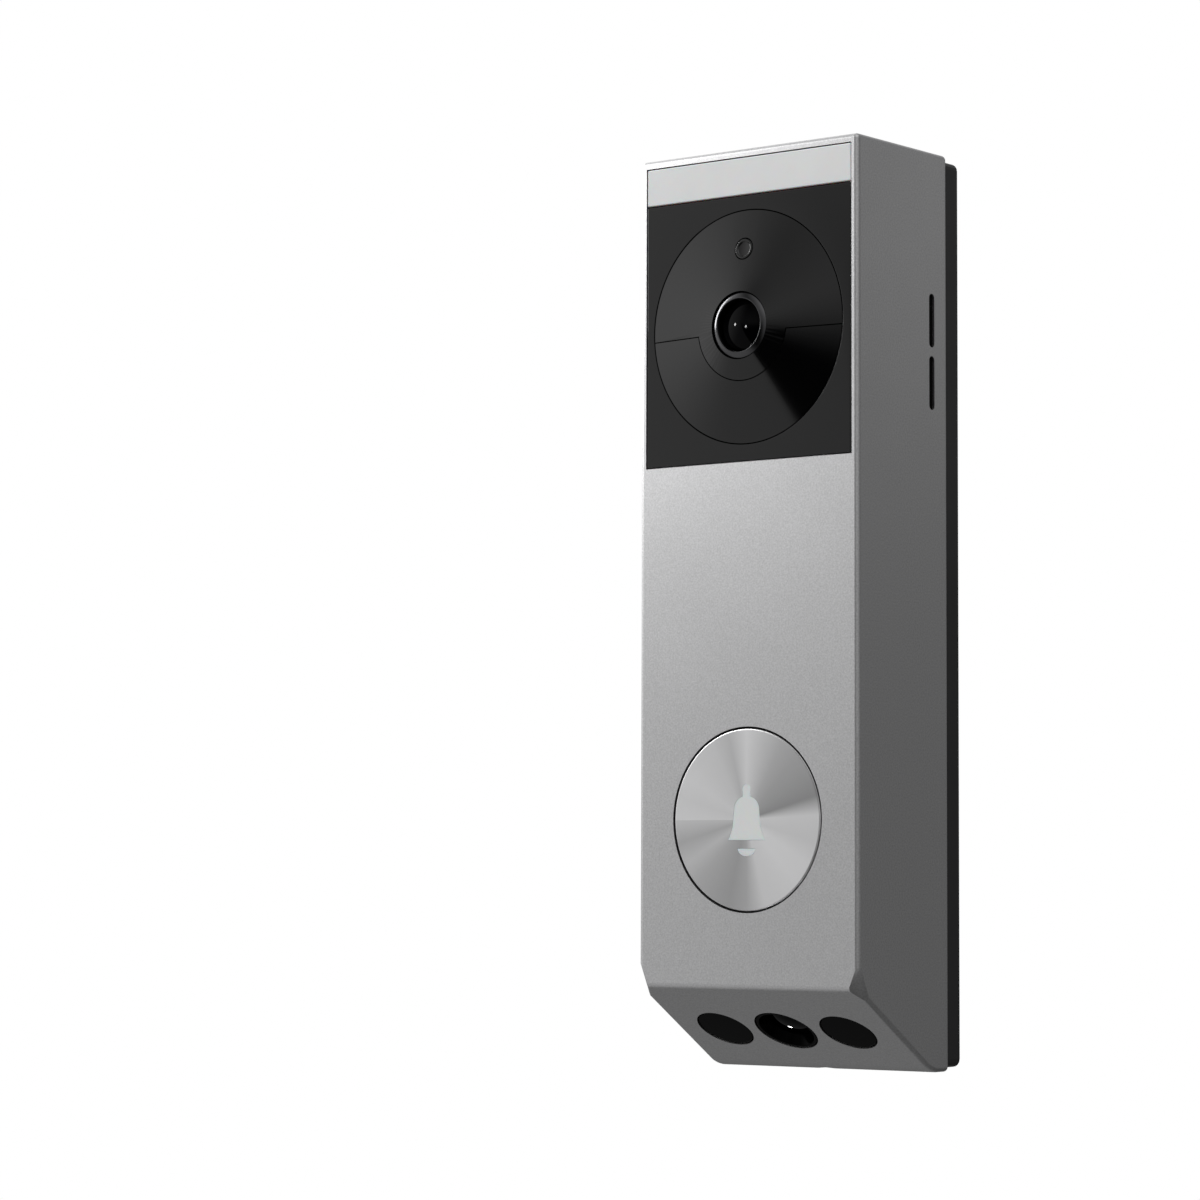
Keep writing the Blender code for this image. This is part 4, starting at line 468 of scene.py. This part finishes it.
def turned(name, profile, place, steps=96, ring=False):
    """Turns a profile of (radius, height) about local Z; a ring's profile is a closed loop."""
    bm = bmesh.new()
    points = [bm.verts.new((radius, 0.0, height)) for radius, height in profile]
    ends = points[1:] + points[:1] if ring else points[1:]
    edges = [bm.edges.new(pair) for pair in zip(points, ends)]
    bmesh.ops.spin(
        bm, geom=points + edges, axis=(0.0, 0.0, 1.0), cent=(0.0, 0.0, 0.0), angle=2 * math.pi,
        steps=steps, use_merge=True,
    )
    bmesh.ops.remove_doubles(bm, verts=bm.verts, dist=1e-7)
    bmesh.ops.dissolve_degenerate(bm, dist=1e-8, edges=bm.edges)
    return put(name, mesh_from(bm, name), place)


def disc(name, radius, low, high, place, steps=96, rounding=0.0):
    profile = [(0.0, high), (radius, high), (radius, low), (0.0, low)]
    if rounding:
        profile = rounded(profile, rounding)
    return turned(name, profile, place, steps)


def outline(name, points, low, high, place):
    """A flat outline in local X and Y, made solid between two heights along local Z."""
    bm = bmesh.new()
    base = bm.faces.new([bm.verts.new((x, y, low)) for x, y in points])
    raised = bmesh.ops.extrude_face_region(bm, geom=[base])["geom"]
    tops = [item for item in raised if isinstance(item, bmesh.types.BMVert)]
    bmesh.ops.translate(bm, vec=(0.0, 0.0, high - low), verts=tops)
    return put(name, mesh_from(bm, name), place)


def combine(thing, operation, *others):
    for other in others:
        boolean = thing.modifiers.new(f"{operation.lower()} {other.name}", "BOOLEAN")
        boolean.operation = operation
        boolean.object = other
        boolean.solver = "EXACT"


def cut(thing, *cutters):
    combine(thing, "DIFFERENCE", *cutters)


def join(thing, *additions):
    combine(thing, "UNION", *additions)


def soften(thing, width=SMALL_EDGE, segments=2, angle=35.0):
    """Breaks the sharp edges that are left, as a real edge is never sharp."""
    bevel = thing.modifiers.new("broken edges", "BEVEL")
    bevel.width = width
    bevel.segments = segments
    bevel.limit_method = "ANGLE"
    bevel.angle_limit = math.radians(angle)
    bevel.use_clamp_overlap = True
    bevel.miter_outer = "MITER_ARC"


def settle(thing, look, body, *replaced):
    """Applies the modifiers, removes what cut the piece, shades it and hands it to the frame."""
    helpers = [modifier.object for modifier in thing.modifiers if modifier.type == "BOOLEAN"]
    graph = bpy.context.evaluated_depsgraph_get()
    mesh = bpy.data.meshes.new_from_object(thing.evaluated_get(graph))
    thing.modifiers.clear()
    thing.data = mesh
    for helper in helpers:
        bpy.data.objects.remove(helper)
    mesh.materials.clear()
    mesh.materials.append(look if isinstance(look, bpy.types.Material) else LOOKS[look])
    mesh.shade_smooth()
    mesh.set_sharp_from_angle(angle=math.radians(32.0))
    weighted = thing.modifiers.new("weighted normals", "WEIGHTED_NORMAL")
    weighted.keep_sharp = True
    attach(thing, body)
    if replaced:
        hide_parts(*replaced)
    return thing


# ---------------------------------------------------------------- main housing
def sloped_block(inset, back_y):
    """The body's outline, brought in by inset on every side but the back."""
    front_y = FRONT_Y + inset
    bm = bmesh.new()
    bmesh.ops.create_cube(bm, size=1.0)
    size = (2 * (HALF_WIDTH - inset), back_y - front_y, TOP_Z - BOTTOM_Z - 2 * inset)
    bmesh.ops.scale(bm, vec=size, verts=bm.verts)
    bmesh.ops.translate(bm, vec=(0.0, (front_y + back_y) / 2, 0.0), verts=bm.verts)
    sliced = bmesh.ops.bisect_plane(
        bm,
        geom=bm.verts[:] + bm.edges[:] + bm.faces[:],
        dist=1e-7,
        plane_co=SLOPE_TOP - SLOPE_OUT * inset,
        plane_no=SLOPE_OUT,
        clear_outer=True,
    )
    rim = [item for item in sliced["geom_cut"] if isinstance(item, bmesh.types.BMEdge)]
    bmesh.ops.edgeloop_fill(bm, edges=rim)
    return bm


def round_along_x(bm, y, z, radius, segments):
    """Rounds the edge that runs along X at y, z with a true radius."""
    near = 1e-5
    edges = [
        edge for edge in bm.edges
        if all(abs(vert.co.y - y) < near and abs(vert.co.z - z) < near for vert in edge.verts)
    ]
    reach = radius * math.tan(edges[0].calc_face_angle() / 2)
    bmesh.ops.bevel(bm, geom=edges, offset=reach, segments=segments, profile=0.5, affect="EDGES")


def nip_corner(bm, side):
    """A small flat where the front, one side and the slope meet."""
    corner = SLOPE_TOP + Vector((side * HALF_WIDTH, 0.0, 0.0))
    above = corner + Vector((0.0, 0.0, NIP_UP))
    inward = corner - Vector((side * NIP_IN, 0.0, 0.0))
    below = corner + SLOPE_DOWN * NIP_DOWN
    normal = (inward - above).cross(below - above) * side
    sliced = bmesh.ops.bisect_plane(
        bm, geom=bm.verts[:] + bm.edges[:] + bm.faces[:], dist=1e-7, plane_co=above,
        plane_no=normal.normalized(), clear_outer=True,
    )
    rim = [item for item in sliced["geom_cut"] if isinstance(item, bmesh.types.BMEdge)]
    bmesh.ops.edgeloop_fill(bm, edges=rim)


def capsule(length, width, count=10):
    """A slot's outline: two half circles and two straight sides."""
    reach = (length - width) / 2
    return arc((0.0, reach), width / 2, 0, 180, count) + arc((0.0, -reach), width / 2, 180, 360, count)


def slot_place(drop):
    """A place on the right side, facing out of it, with local Y up."""
    middle = (HALF_WIDTH, FRONT_Y + SLOT_FROM_FRONT, TOP_Z - drop - SLOT_LENGTH / 2)
    return Matrix.Translation(middle) @ Matrix(((0, 0, 1), (1, 0, 0), (0, 1, 0))).to_4x4()


def front_housing():
    bm = sloped_block(0.0, BACK_Y)
    round_along_x(bm, FRONT_Y, SLOPE_TOP.z, SLOPE_ROUND, 12)
    round_along_x(bm, FRONT_Y + SLOPE_DEPTH, BOTTOM_Z, FOOT_ROUND, 16)
    rims = [edge for edge in bm.edges if edge.calc_face_angle() > math.radians(60.0)]
    bmesh.ops.bevel(bm, geom=rims, offset=EDGE_ROUND, segments=6, profile=0.5, affect="EDGES")
    for side in (-1, 1):
        nip_corner(bm, side)
    housing = put("housing_skin", mesh_from(bm, "housing_skin"))
    cavity = sloped_block(WALL, BACK_Y + CLEAR)
    cut(housing, put("cavity", mesh_from(cavity, "cavity")))
    wide = HALF_WIDTH - WALL / 2
    join(housing, box(
        "window frame",
        (-wide, wide),
        (FRONT_Y + WALL / 2, FRONT_Y + FRAME_DEPTH),
        (WINDOW_LOW.z - TRIM_LEDGE, TOP_Z - WALL / 2),
    ))
    cut(housing, box(
        "trim recess",
        (WINDOW_LOW.x - TRIM_SEAM, WINDOW_HIGH.x + TRIM_SEAM),
        (FRONT_Y - CLEAR, WINDOW_HIGH.y + SEAM),
        (WINDOW_LOW.z - TRIM_SEAM, BAR_HIGH.z + TRIM_SEAM),
    ))
    cut(housing, box(
        "trim opening",
        (WINDOW_LOW.x + TRIM_LEDGE, WINDOW_HIGH.x - TRIM_LEDGE),
        (FRONT_Y, FRONT_Y + FRAME_DEPTH + CLEAR),
        (WINDOW_LOW.z + TRIM_LEDGE, BAR_HIGH.z - TRIM_LEDGE),
    ))
    cut(housing, disc("button hole", BUTTON_RADIUS + BUTTON_GAP, -WALL - CLEAR, CLEAR, BUTTON_PLACE, 160))
    for x, radius in SLOPE_HOLES:
        cut(housing, disc(f"hole {x:.4f}", radius + TRIM_SEAM, -WALL - CLEAR, CLEAR, slope_place(x), 96))
    for drop in SLOT_DROPS:
        shape = capsule(SLOT_LENGTH, SLOT_WIDTH)
        cut(housing, outline(f"slot {drop}", shape, -WALL - CLEAR, CLEAR, slot_place(drop)))
    screw_hole = LOCK_HIGH.x + SEAM
    cut(housing, disc("lock screw hole", screw_hole, -WALL - CLEAR, CLEAR, LOCK_PLACE, 48))
    soften(housing)
    return settle(housing, "satin_metal", "doorbell_body", "front_housing")


def speaker_pads():
    """The dark cloth that stands in each speaker slot."""
    for number, drop in enumerate(SLOT_DROPS):
        shape = capsule(SLOT_LENGTH - SMALL_EDGE, SLOT_WIDTH - SMALL_EDGE)
        pad = outline(f"speaker_pad_{number}", shape, -WALL, -SLOT_PAD_DEPTH, slot_place(drop))
        settle(pad, "acoustic_mesh", "doorbell_body")


# ------------------------------------------------ light bar, window and camera
def light_bar():
    bar = box(
        "light_bar_lens", (BAR_LOW.x, BAR_HIGH.x), (BAR_LOW.y, BAR_HIGH.y), (BAR_LOW.z, BAR_HIGH.z),
        rounding=TRIM_ROUND,
    )
    return settle(bar, "light_diffuser", "doorbell_body", "light_bar")


def camera_window():
    window = box(
        "window_glass", (WINDOW_LOW.x, WINDOW_HIGH.x), (WINDOW_LOW.y, WINDOW_HIGH.y),
        (WINDOW_LOW.z, WINDOW_HIGH.z), rounding=TRIM_ROUND,
    )
    cut(window, disc("dish hole", DISH_RADIUS + TRIM_SEAM, -TRIM_THICKNESS - CLEAR, CLEAR, LENS_PLACE, 192))
    soften(window, WINDOW_EDGE)
    return settle(window, "window_black", "doorbell_body", "camera_window")


def dish(name):
    """The whole cone; its two pieces are cut from it."""
    hole = LENS_RING_RADIUS + TRIM_SEAM
    slope = (DISH_TOP_RISE - DISH_MID_RISE) / (DISH_MID_RADIUS - DISH_TOP_RADIUS)
    rise_at_hole = DISH_MID_RISE + slope * (DISH_MID_RADIUS - hole)
    profile = [
        (hole, rise_at_hole),
        (DISH_MID_RADIUS, DISH_MID_RISE),
        (DISH_RADIUS, 0.0),
        (DISH_RADIUS, -DISH_WALL),
        (DISH_MID_RADIUS, DISH_MID_RISE - DISH_WALL),
        (hole, rise_at_hole - DISH_WALL),
    ]
    return turned(name, profile, LENS_PLACE, 192, ring=True)


def lower_region(name, room):
    """All that lies under the dish's level joint, except the half disc round the lens."""
    split = LENS_Z - DISH_SPLIT_DROP - room
    reach = DISH_RADIUS + CLEAR
    depth = (FRONT_Y - LENS_RING_RISE - CLEAR, FRONT_Y + DISH_WALL + CLEAR)
    region = box(name, (-reach, reach), depth, (LENS_Z - reach, split))
    through = (-DISH_WALL - 2 * CLEAR, LENS_RING_RISE + 2 * CLEAR)
    keep = disc(f"{name} collar", DISH_MID_RADIUS + room, *through, LENS_PLACE, 128)
    cut(region, keep)
    return region, keep


def dish_pieces():
    upper = dish("dish_upper")
    region, keep = lower_region("lower dish region", 0.0)
    cut(upper, region)
    hole = LIGHT_SENSOR_RADIUS + TRIM_SEAM
    cut(upper, disc("light sensor hole", hole, -CLEAR - DISH_WALL, CLEAR, LIGHT_SENSOR_PLACE, 64))
    soften(upper, DISH_EDGE)
    settle(upper, "dish_black", "doorbell_body", "camera_dish")
    bpy.data.objects.remove(keep)
    lower = dish("dish_lower")
    region, keep = lower_region("motion cover region", TRIM_SEAM)
    combine(lower, "INTERSECT", region)
    soften(lower, DISH_EDGE)
    settle(lower, "motion_cover_black", "doorbell_body", "motion_sensor_cover")
    bpy.data.objects.remove(keep)
    rim = LIGHT_SENSOR_RADIUS * LIGHT_SENSOR_FACE
    profile = rounded([
        (0.0, -LIGHT_SENSOR_STEP), (rim, -LIGHT_SENSOR_STEP), (rim + LIGHT_SENSOR_STEP, 0.0),
        (LIGHT_SENSOR_RADIUS, 0.0), (LIGHT_SENSOR_RADIUS, -DISH_WALL), (0.0, -DISH_WALL),
    ], LIGHT_SENSOR_ROUND, 3)
    window = turned("light_sensor_lens", profile, LIGHT_SENSOR_PLACE, 64)
    settle(window, "window_black", "doorbell_body", "light_sensor_window")


def dome(radius, edge, rise, foot, count=16):
    """A plano-convex lens: a spherical cap of the given rise above its edge, down to its foot."""
    sphere = (radius * radius + rise * rise) / (2 * rise)
    profile = []
    for step in range(count + 1):
        across = radius * step / count
        profile.append((across, edge + rise - sphere + math.sqrt(sphere * sphere - across * across)))
    return profile + [(radius, foot), (0.0, foot)]


def main_lens():
    """The ring, the dark coated glass and the barrel behind it."""
    inner = LENS_RADIUS + SEAM
    ring = turned("lens_bezel", rounded([
        (inner, LENS_RING_RISE - LENS_RING_DISH),
        (LENS_RING_RADIUS - RING_CHAMFER, LENS_RING_RISE),
        (LENS_RING_RADIUS, LENS_RING_RISE - RING_CHAMFER * RING_TILT),
        (LENS_RING_RADIUS, -DISH_WALL),
        (inner, -DISH_WALL),
    ], RING_ROUND, 4, closed=True), LENS_PLACE, 128, ring=True)
    settle(ring, "lens_metal", "doorbell_body", "lens_ring")
    glass = turned("front_glass", dome(LENS_RADIUS, GLASS_EDGE, GLASS_RISE, GLASS_FOOT), LENS_PLACE, 96)
    settle(glass, "lens_glass", "doorbell_body", "lens_glass")
    barrel = turned("lens_tube", rounded([
        (BARREL_MOUTH, GLASS_FOOT - SEAM), (LENS_RADIUS, GLASS_FOOT - SEAM), (LENS_RADIUS, BARREL_BACK),
        (BARREL_BORE, BARREL_BACK), (BARREL_BORE, BARREL_STEP), (BARREL_MOUTH, BARREL_STEP),
    ], BARREL_ROUND, 2, closed=True), LENS_PLACE, 96, ring=True)
    settle(barrel, "black_plastic", "doorbell_body", "lens_barrel")
    return glass


# ----------------------------------------------------------------- bell button
BUTTON_CAP = 0.0016
BELL_FLANGE = 0.0005
BELL_FLANGE_RADIUS = 0.0070
BELL_FIT = 0.00003


def bell_outline():
    """A generic bell: a knob on a domed crown, sides that flare to a flat foot."""
    knob_radius, shoulder = 0.00095, 0.00285
    knob = arc((0.0, 0.0055), knob_radius, 90, -30, 14)
    neck_angle = math.degrees(math.acos(knob_radius * 0.9 / shoulder))
    crown = arc((0.0, 0.0019), shoulder, neck_angle, 0, 16, squash=0.85)
    skirt = [(0.0032, -0.0014), (0.0039, -0.0032)]
    foot = [(0.00415, -0.00345), (0.00415, -0.0037)]
    right = knob + crown + skirt + foot
    left = [(-x, y) for x, y in reversed(right) if x > 1e-6]
    return right + left


def clapper_outline():
    """A flattened half disc under the bell."""
    return arc((0.0, -0.00525), 0.0020, 180, 360, 24, squash=0.7)


def grown(points, room):
    """An outline moved outward by room, each corner along its bisector."""
    points = [Vector(point) for point in points]
    after = points[1:] + points[:1]
    before = points[-1:] + points[:-1]
    area = sum(here.cross(there) for here, there in zip(points, after))
    moved = []
    for previous, here, following in zip(before, points, after):
        arriving = (here - previous).normalized()
        leaving = (following - here).normalized()
        both = Vector((arriving.y + leaving.y, -arriving.x - leaving.x))
        moved.append(here + both * (math.copysign(2 * room, area) / both.length_squared))
    return moved


def bell_button():
    cap = disc("button_cap", BUTTON_RADIUS, -BUTTON_CAP, 0.0, BUTTON_PLACE, 192, rounding=CAP_ROUND)
    for name, points in (("bell", bell_outline()), ("clapper", clapper_outline())):
        wider = grown(points, BELL_FIT)
        cut(cap, outline(f"{name} cutter", wider, -BUTTON_CAP - CLEAR, CLEAR, BUTTON_PLACE))
    flange = -BUTTON_CAP + BELL_FLANGE
    depth = (-BUTTON_CAP - CLEAR, flange + SEAM)
    cut(cap, disc("symbol pocket", BELL_FLANGE_RADIUS + SEAM, *depth, BUTTON_PLACE))
    soften(cap, SYMBOL_EDGE, 1, 60.0)
    settle(cap, "spun_metal", "bell_push", "bell_button")
    symbol = disc("bell_inlay", BELL_FLANGE_RADIUS, -BUTTON_CAP, flange, BUTTON_PLACE)
    for name, points in (("bell", bell_outline()), ("clapper", clapper_outline())):
        join(symbol, outline(f"{name} relief", points, flange - BELL_FLANGE / 2, 0.0, BUTTON_PLACE))
    soften(symbol, SYMBOL_EDGE, 1, 60.0)
    settle(symbol, "bell_white", "bell_push", "bell_symbol")
    return cap, symbol


# ------------------------------------------------------- lens on the underside
def lower_camera():
    middle = slope_place(0.0)
    inner_wall = -WALL - SEAM
    flange_low = inner_wall - LOWER_FLANGE
    ring = turned("lower_bezel", rounded([
        (LOWER_GLASS_RADIUS + SEAM, -WALL),
        (SLOPE_LENS_RADIUS - LOWER_RING_LAND, -SLOPE_RECESS),
        (SLOPE_LENS_RADIUS, -SLOPE_RECESS),
        (SLOPE_LENS_RADIUS, inner_wall),
        (SLOPE_LENS_RADIUS + LOWER_LIP, inner_wall),
        (SLOPE_LENS_RADIUS + LOWER_LIP, flange_low),
        (LOWER_GLASS_RADIUS + SEAM, flange_low),
    ], RING_ROUND, 4, closed=True), middle, 96, ring=True)
    settle(ring, DARK_WINDOW, "doorbell_body", "lower_lens_ring")
    foot = LOWER_GLASS_EDGE - LOWER_GLASS_BODY
    cap = dome(LOWER_GLASS_RADIUS, LOWER_GLASS_EDGE, LOWER_GLASS_RISE, foot)
    glass = turned("lower_glass", cap, middle, 96)
    settle(glass, "lens_glass", "doorbell_body", "lower_lens_glass")
    for side, x in (("left", -SLOPE_HOLE_SPACING), ("right", SLOPE_HOLE_SPACING)):
        window = turned(f"infrared_window_{side}", rounded([
            (0.0, -SLOPE_RECESS), (SLOPE_WINDOW_RADIUS, -SLOPE_RECESS), (SLOPE_WINDOW_RADIUS, inner_wall),
            (SLOPE_WINDOW_RADIUS + LOWER_LIP, inner_wall), (SLOPE_WINDOW_RADIUS + LOWER_LIP, flange_low),
            (0.0, flange_low),
        ], LOWER_WINDOW_ROUND, 4), slope_place(x), 96)
        settle(window, DARK_WINDOW, "doorbell_body", f"lower_window_{side}")
    return glass


# ------------------------------------------------------------ studio and camera
def light(name, place, aim, size, watts, shape="RECTANGLE"):
    lamp = bpy.data.lights.new(name, "AREA")
    lamp.shape = shape
    lamp.size, lamp.size_y = size
    lamp.energy = watts
    thing = bpy.data.objects.new(name, lamp)
    thing.location = place
    thing.rotation_mode = "QUATERNION"
    thing.rotation_quaternion = (Vector(aim) - Vector(place)).to_track_quat("-Z", "Y")
    bpy.context.scene.collection.objects.link(thing)
    return thing


def lit_only(lamp, name, *pieces):
    """Limits a lamp to the given pieces."""
    group = bpy.data.collections.new(name)
    for piece in pieces:
        group.objects.link(piece)
    lamp.light_linking.receiver_collection = group


def toward(azimuth, elevation):
    """A direction from the object: azimuth 0 is out of the front, positive to the left."""
    a, e = math.radians(azimuth), math.radians(elevation)
    return Vector((-math.sin(a) * math.cos(e), -math.cos(a) * math.cos(e), math.sin(e)))


def studio():
    """White behind the object, and softly graded light round it."""
    world = bpy.data.worlds.new("studio")
    bpy.context.scene.world = world
    world.use_nodes = True
    tree = world.node_tree
    tree.nodes.clear()
    ray = add(world, "ShaderNodeTexCoord").outputs["Generated"]

    def dot(direction):
        made = add(world, "ShaderNodeVectorMath", {0: ray, 1: direction}, operation="DOT_PRODUCT")
        return made.outputs["Value"]

    def lobe(azimuth, elevation, inner, outer, strength):
        """Light from a round patch of sky, full inside the inner angle and none past the outer."""
        axis = toward(azimuth, elevation)
        links = {
            "Value": dot(axis),
            "From Min": math.cos(math.radians(outer)),
            "From Max": math.cos(math.radians(inner)),
            "To Min": 0.0,
            "To Max": strength,
        }
        return add(world, "ShaderNodeMapRange", links, interpolation_type="SMOOTHSTEP").outputs[0]

    def edge(direction, start, end):
        """Goes from 0 to 1 as the ray's share along a direction passes from start to end."""
        links = {"Value": dot(direction), "From Min": start, "From Max": end, "To Min": 0.0, "To Max": 1.0}
        return add(world, "ShaderNodeMapRange", links, interpolation_type="SMOOTHSTEP").outputs[0]

    def maths(operation, first, second):
        return add(world, "ShaderNodeMath", {0: first, 1: second}, operation=operation).outputs[0]

    total = lobe(*SKY[0])
    for patch in SKY[1:]:
        total = maths("ADD", total, lobe(*patch))
    total = maths("ADD", total, AMBIENT)
    flag = edge(*FLAG[0])
    for side in FLAG[1:]:
        flag = maths("MULTIPLY", flag, edge(*side))
    total = maths("MULTIPLY", total, maths("SUBTRACT", 1.0, flag))
    seen = add(world, "ShaderNodeLightPath").outputs["Is Camera Ray"]
    soft = add(world, "ShaderNodeBackground", {"Strength": total}).outputs[0]
    plain = {"Color": (1.0, 1.0, 1.0, 1.0), "Strength": 1.0}
    white = add(world, "ShaderNodeBackground", plain).outputs[0]
    blend = add(world, "ShaderNodeMixShader", {0: seen, 1: soft, 2: white}).outputs[0]
    add(world, "ShaderNodeOutputWorld", {"Surface": blend})


AMBIENT = 0.09
SKY = (
    # azimuth, elevation, inner and outer angle, strength
    (72.0, 20.0, 8.0, 40.0, 0.86),
    (108.0, 34.0, 10.0, 45.0, 1.0),
    (40.0, -12.0, 12.0, 55.0, 0.62),
    (-10.0, 12.0, 0.0, 40.0, 0.32),
    (-55.0, 25.0, 10.0, 50.0, 0.45),
    (-40.0, 58.0, 10.0, 50.0, 0.9),
    (113.0, -50.0, 0.0, 55.0, 0.21),
    (-113.0, -56.0, 0.0, 40.0, 0.08),
    (-135.0, 28.0, 0.0, 65.0, 0.14),
    (150.0, 45.0, 10.0, 50.0, 0.5),
)
FLAG = (
    # a black flag beside the lens axis: the direction across each side, where it starts and ends
    ((0.745, -0.443, 0.500), -0.008, 0.012),
    ((0.0, 0.0, -1.0), -0.24, -0.03),
    ((-0.96, -0.28, 0.0), 0.02, 0.16),
    ((0.0, -0.6, 0.8), -0.1, 0.1),
)


FLOOR_RADIUS = 1.2
FLOOR_Z = -0.30


def floor():
    """A pale floor that only the views from other directions take in."""
    bm = bmesh.new()
    bmesh.ops.create_circle(bm, cap_ends=True, segments=96, radius=FLOOR_RADIUS)
    bmesh.ops.translate(bm, vec=(0.0, 0.0, FLOOR_Z), verts=bm.verts)
    ground = put("floor", mesh_from(bm, "floor"))
    material, shader = principled("pale_floor", (0.80, 0.80, 0.79), 0.7)
    patches = noise(material, place_of(material), 8.0)
    feed(material, shader, "Roughness", between(material, patches, 0.65, 0.75))
    ground.data.materials.append(material)
    ground.visible_glossy = False
    ground.visible_diffuse = False
    ground.visible_transmission = False


CAMERA_LENS = 112.98
CAMERA_SENSOR = 36.0
CAMERA_SHIFT = (-0.1658, 0.0025)
CAMERA_NEAR = 0.01
CAMERA_PLACE = (0.41413, -0.58013, -0.04773)
CAMERA_TILT = 94.04
CAMERA_TURN = 36.35


def camera():
    data = bpy.data.cameras.new("camera")
    data.lens = CAMERA_LENS
    data.sensor_width = CAMERA_SENSOR
    data.shift_x, data.shift_y = CAMERA_SHIFT
    data.clip_start = CAMERA_NEAR
    thing = bpy.data.objects.new("camera", data)
    thing.location = CAMERA_PLACE
    thing.rotation_euler = (math.radians(CAMERA_TILT), 0.0, math.radians(CAMERA_TURN))
    bpy.context.scene.collection.objects.link(thing)
    bpy.context.scene.camera = thing


camera()
finish_nodes()
housing = front_housing()
speaker_pads()
bar = light_bar()
camera_window()
dish_pieces()
main_glass = main_lens()
button, symbol = bell_button()
lower_glass = lower_camera()

studio()
key = light("key", toward(56.0, 30.0) * 0.34, (0.0, -0.03, 0.06), (0.20, 0.20), 0.42)
lit_only(key, "lit by the key", housing, button)
fill = light("fill", toward(10.0, 62.0) * 0.60, (0.0, -0.03, 0.0), (0.30, 0.30), 1.6)
lit_only(fill, "lit by the fill", bar, symbol)
light("edge", toward(84.0, 30.0) * 0.34, (0.0, -0.03, 0.05), (0.16, 0.16), 0.75)
light("rim", toward(-144.0, 20.0) * 0.7, (0.02, 0.0, 0.05), (0.25, 0.25), 0.05)
FRONT_GLASS = LENS_PLACE.translation
LOWER_GLASS = slope_place(0.0).translation
CATCH_LIGHTS = (
    # the glass, its place, and the lamp's azimuth and elevation from it
    (main_glass, FRONT_GLASS, 48.5, 10.0),
    (main_glass, FRONT_GLASS, 26.0, 6.0),
    (lower_glass, LOWER_GLASS, 150.0, -52.0),
    (lower_glass, LOWER_GLASS, 128.0, -40.0),
)
CATCH_REACH = 0.7
CATCH_SIZE = 0.04
CATCH_WATTS = 0.42
for number, (glass, target, azimuth, elevation) in enumerate(CATCH_LIGHTS):
    spot = target + toward(azimuth, elevation) * CATCH_REACH
    lamp = light(f"catch light {number}", spot, target, (CATCH_SIZE, CATCH_SIZE), CATCH_WATTS, "DISK")
    lit_only(lamp, f"lit by {lamp.name}", glass)
floor()
bpy.context.scene.view_settings.view_transform = "Standard"
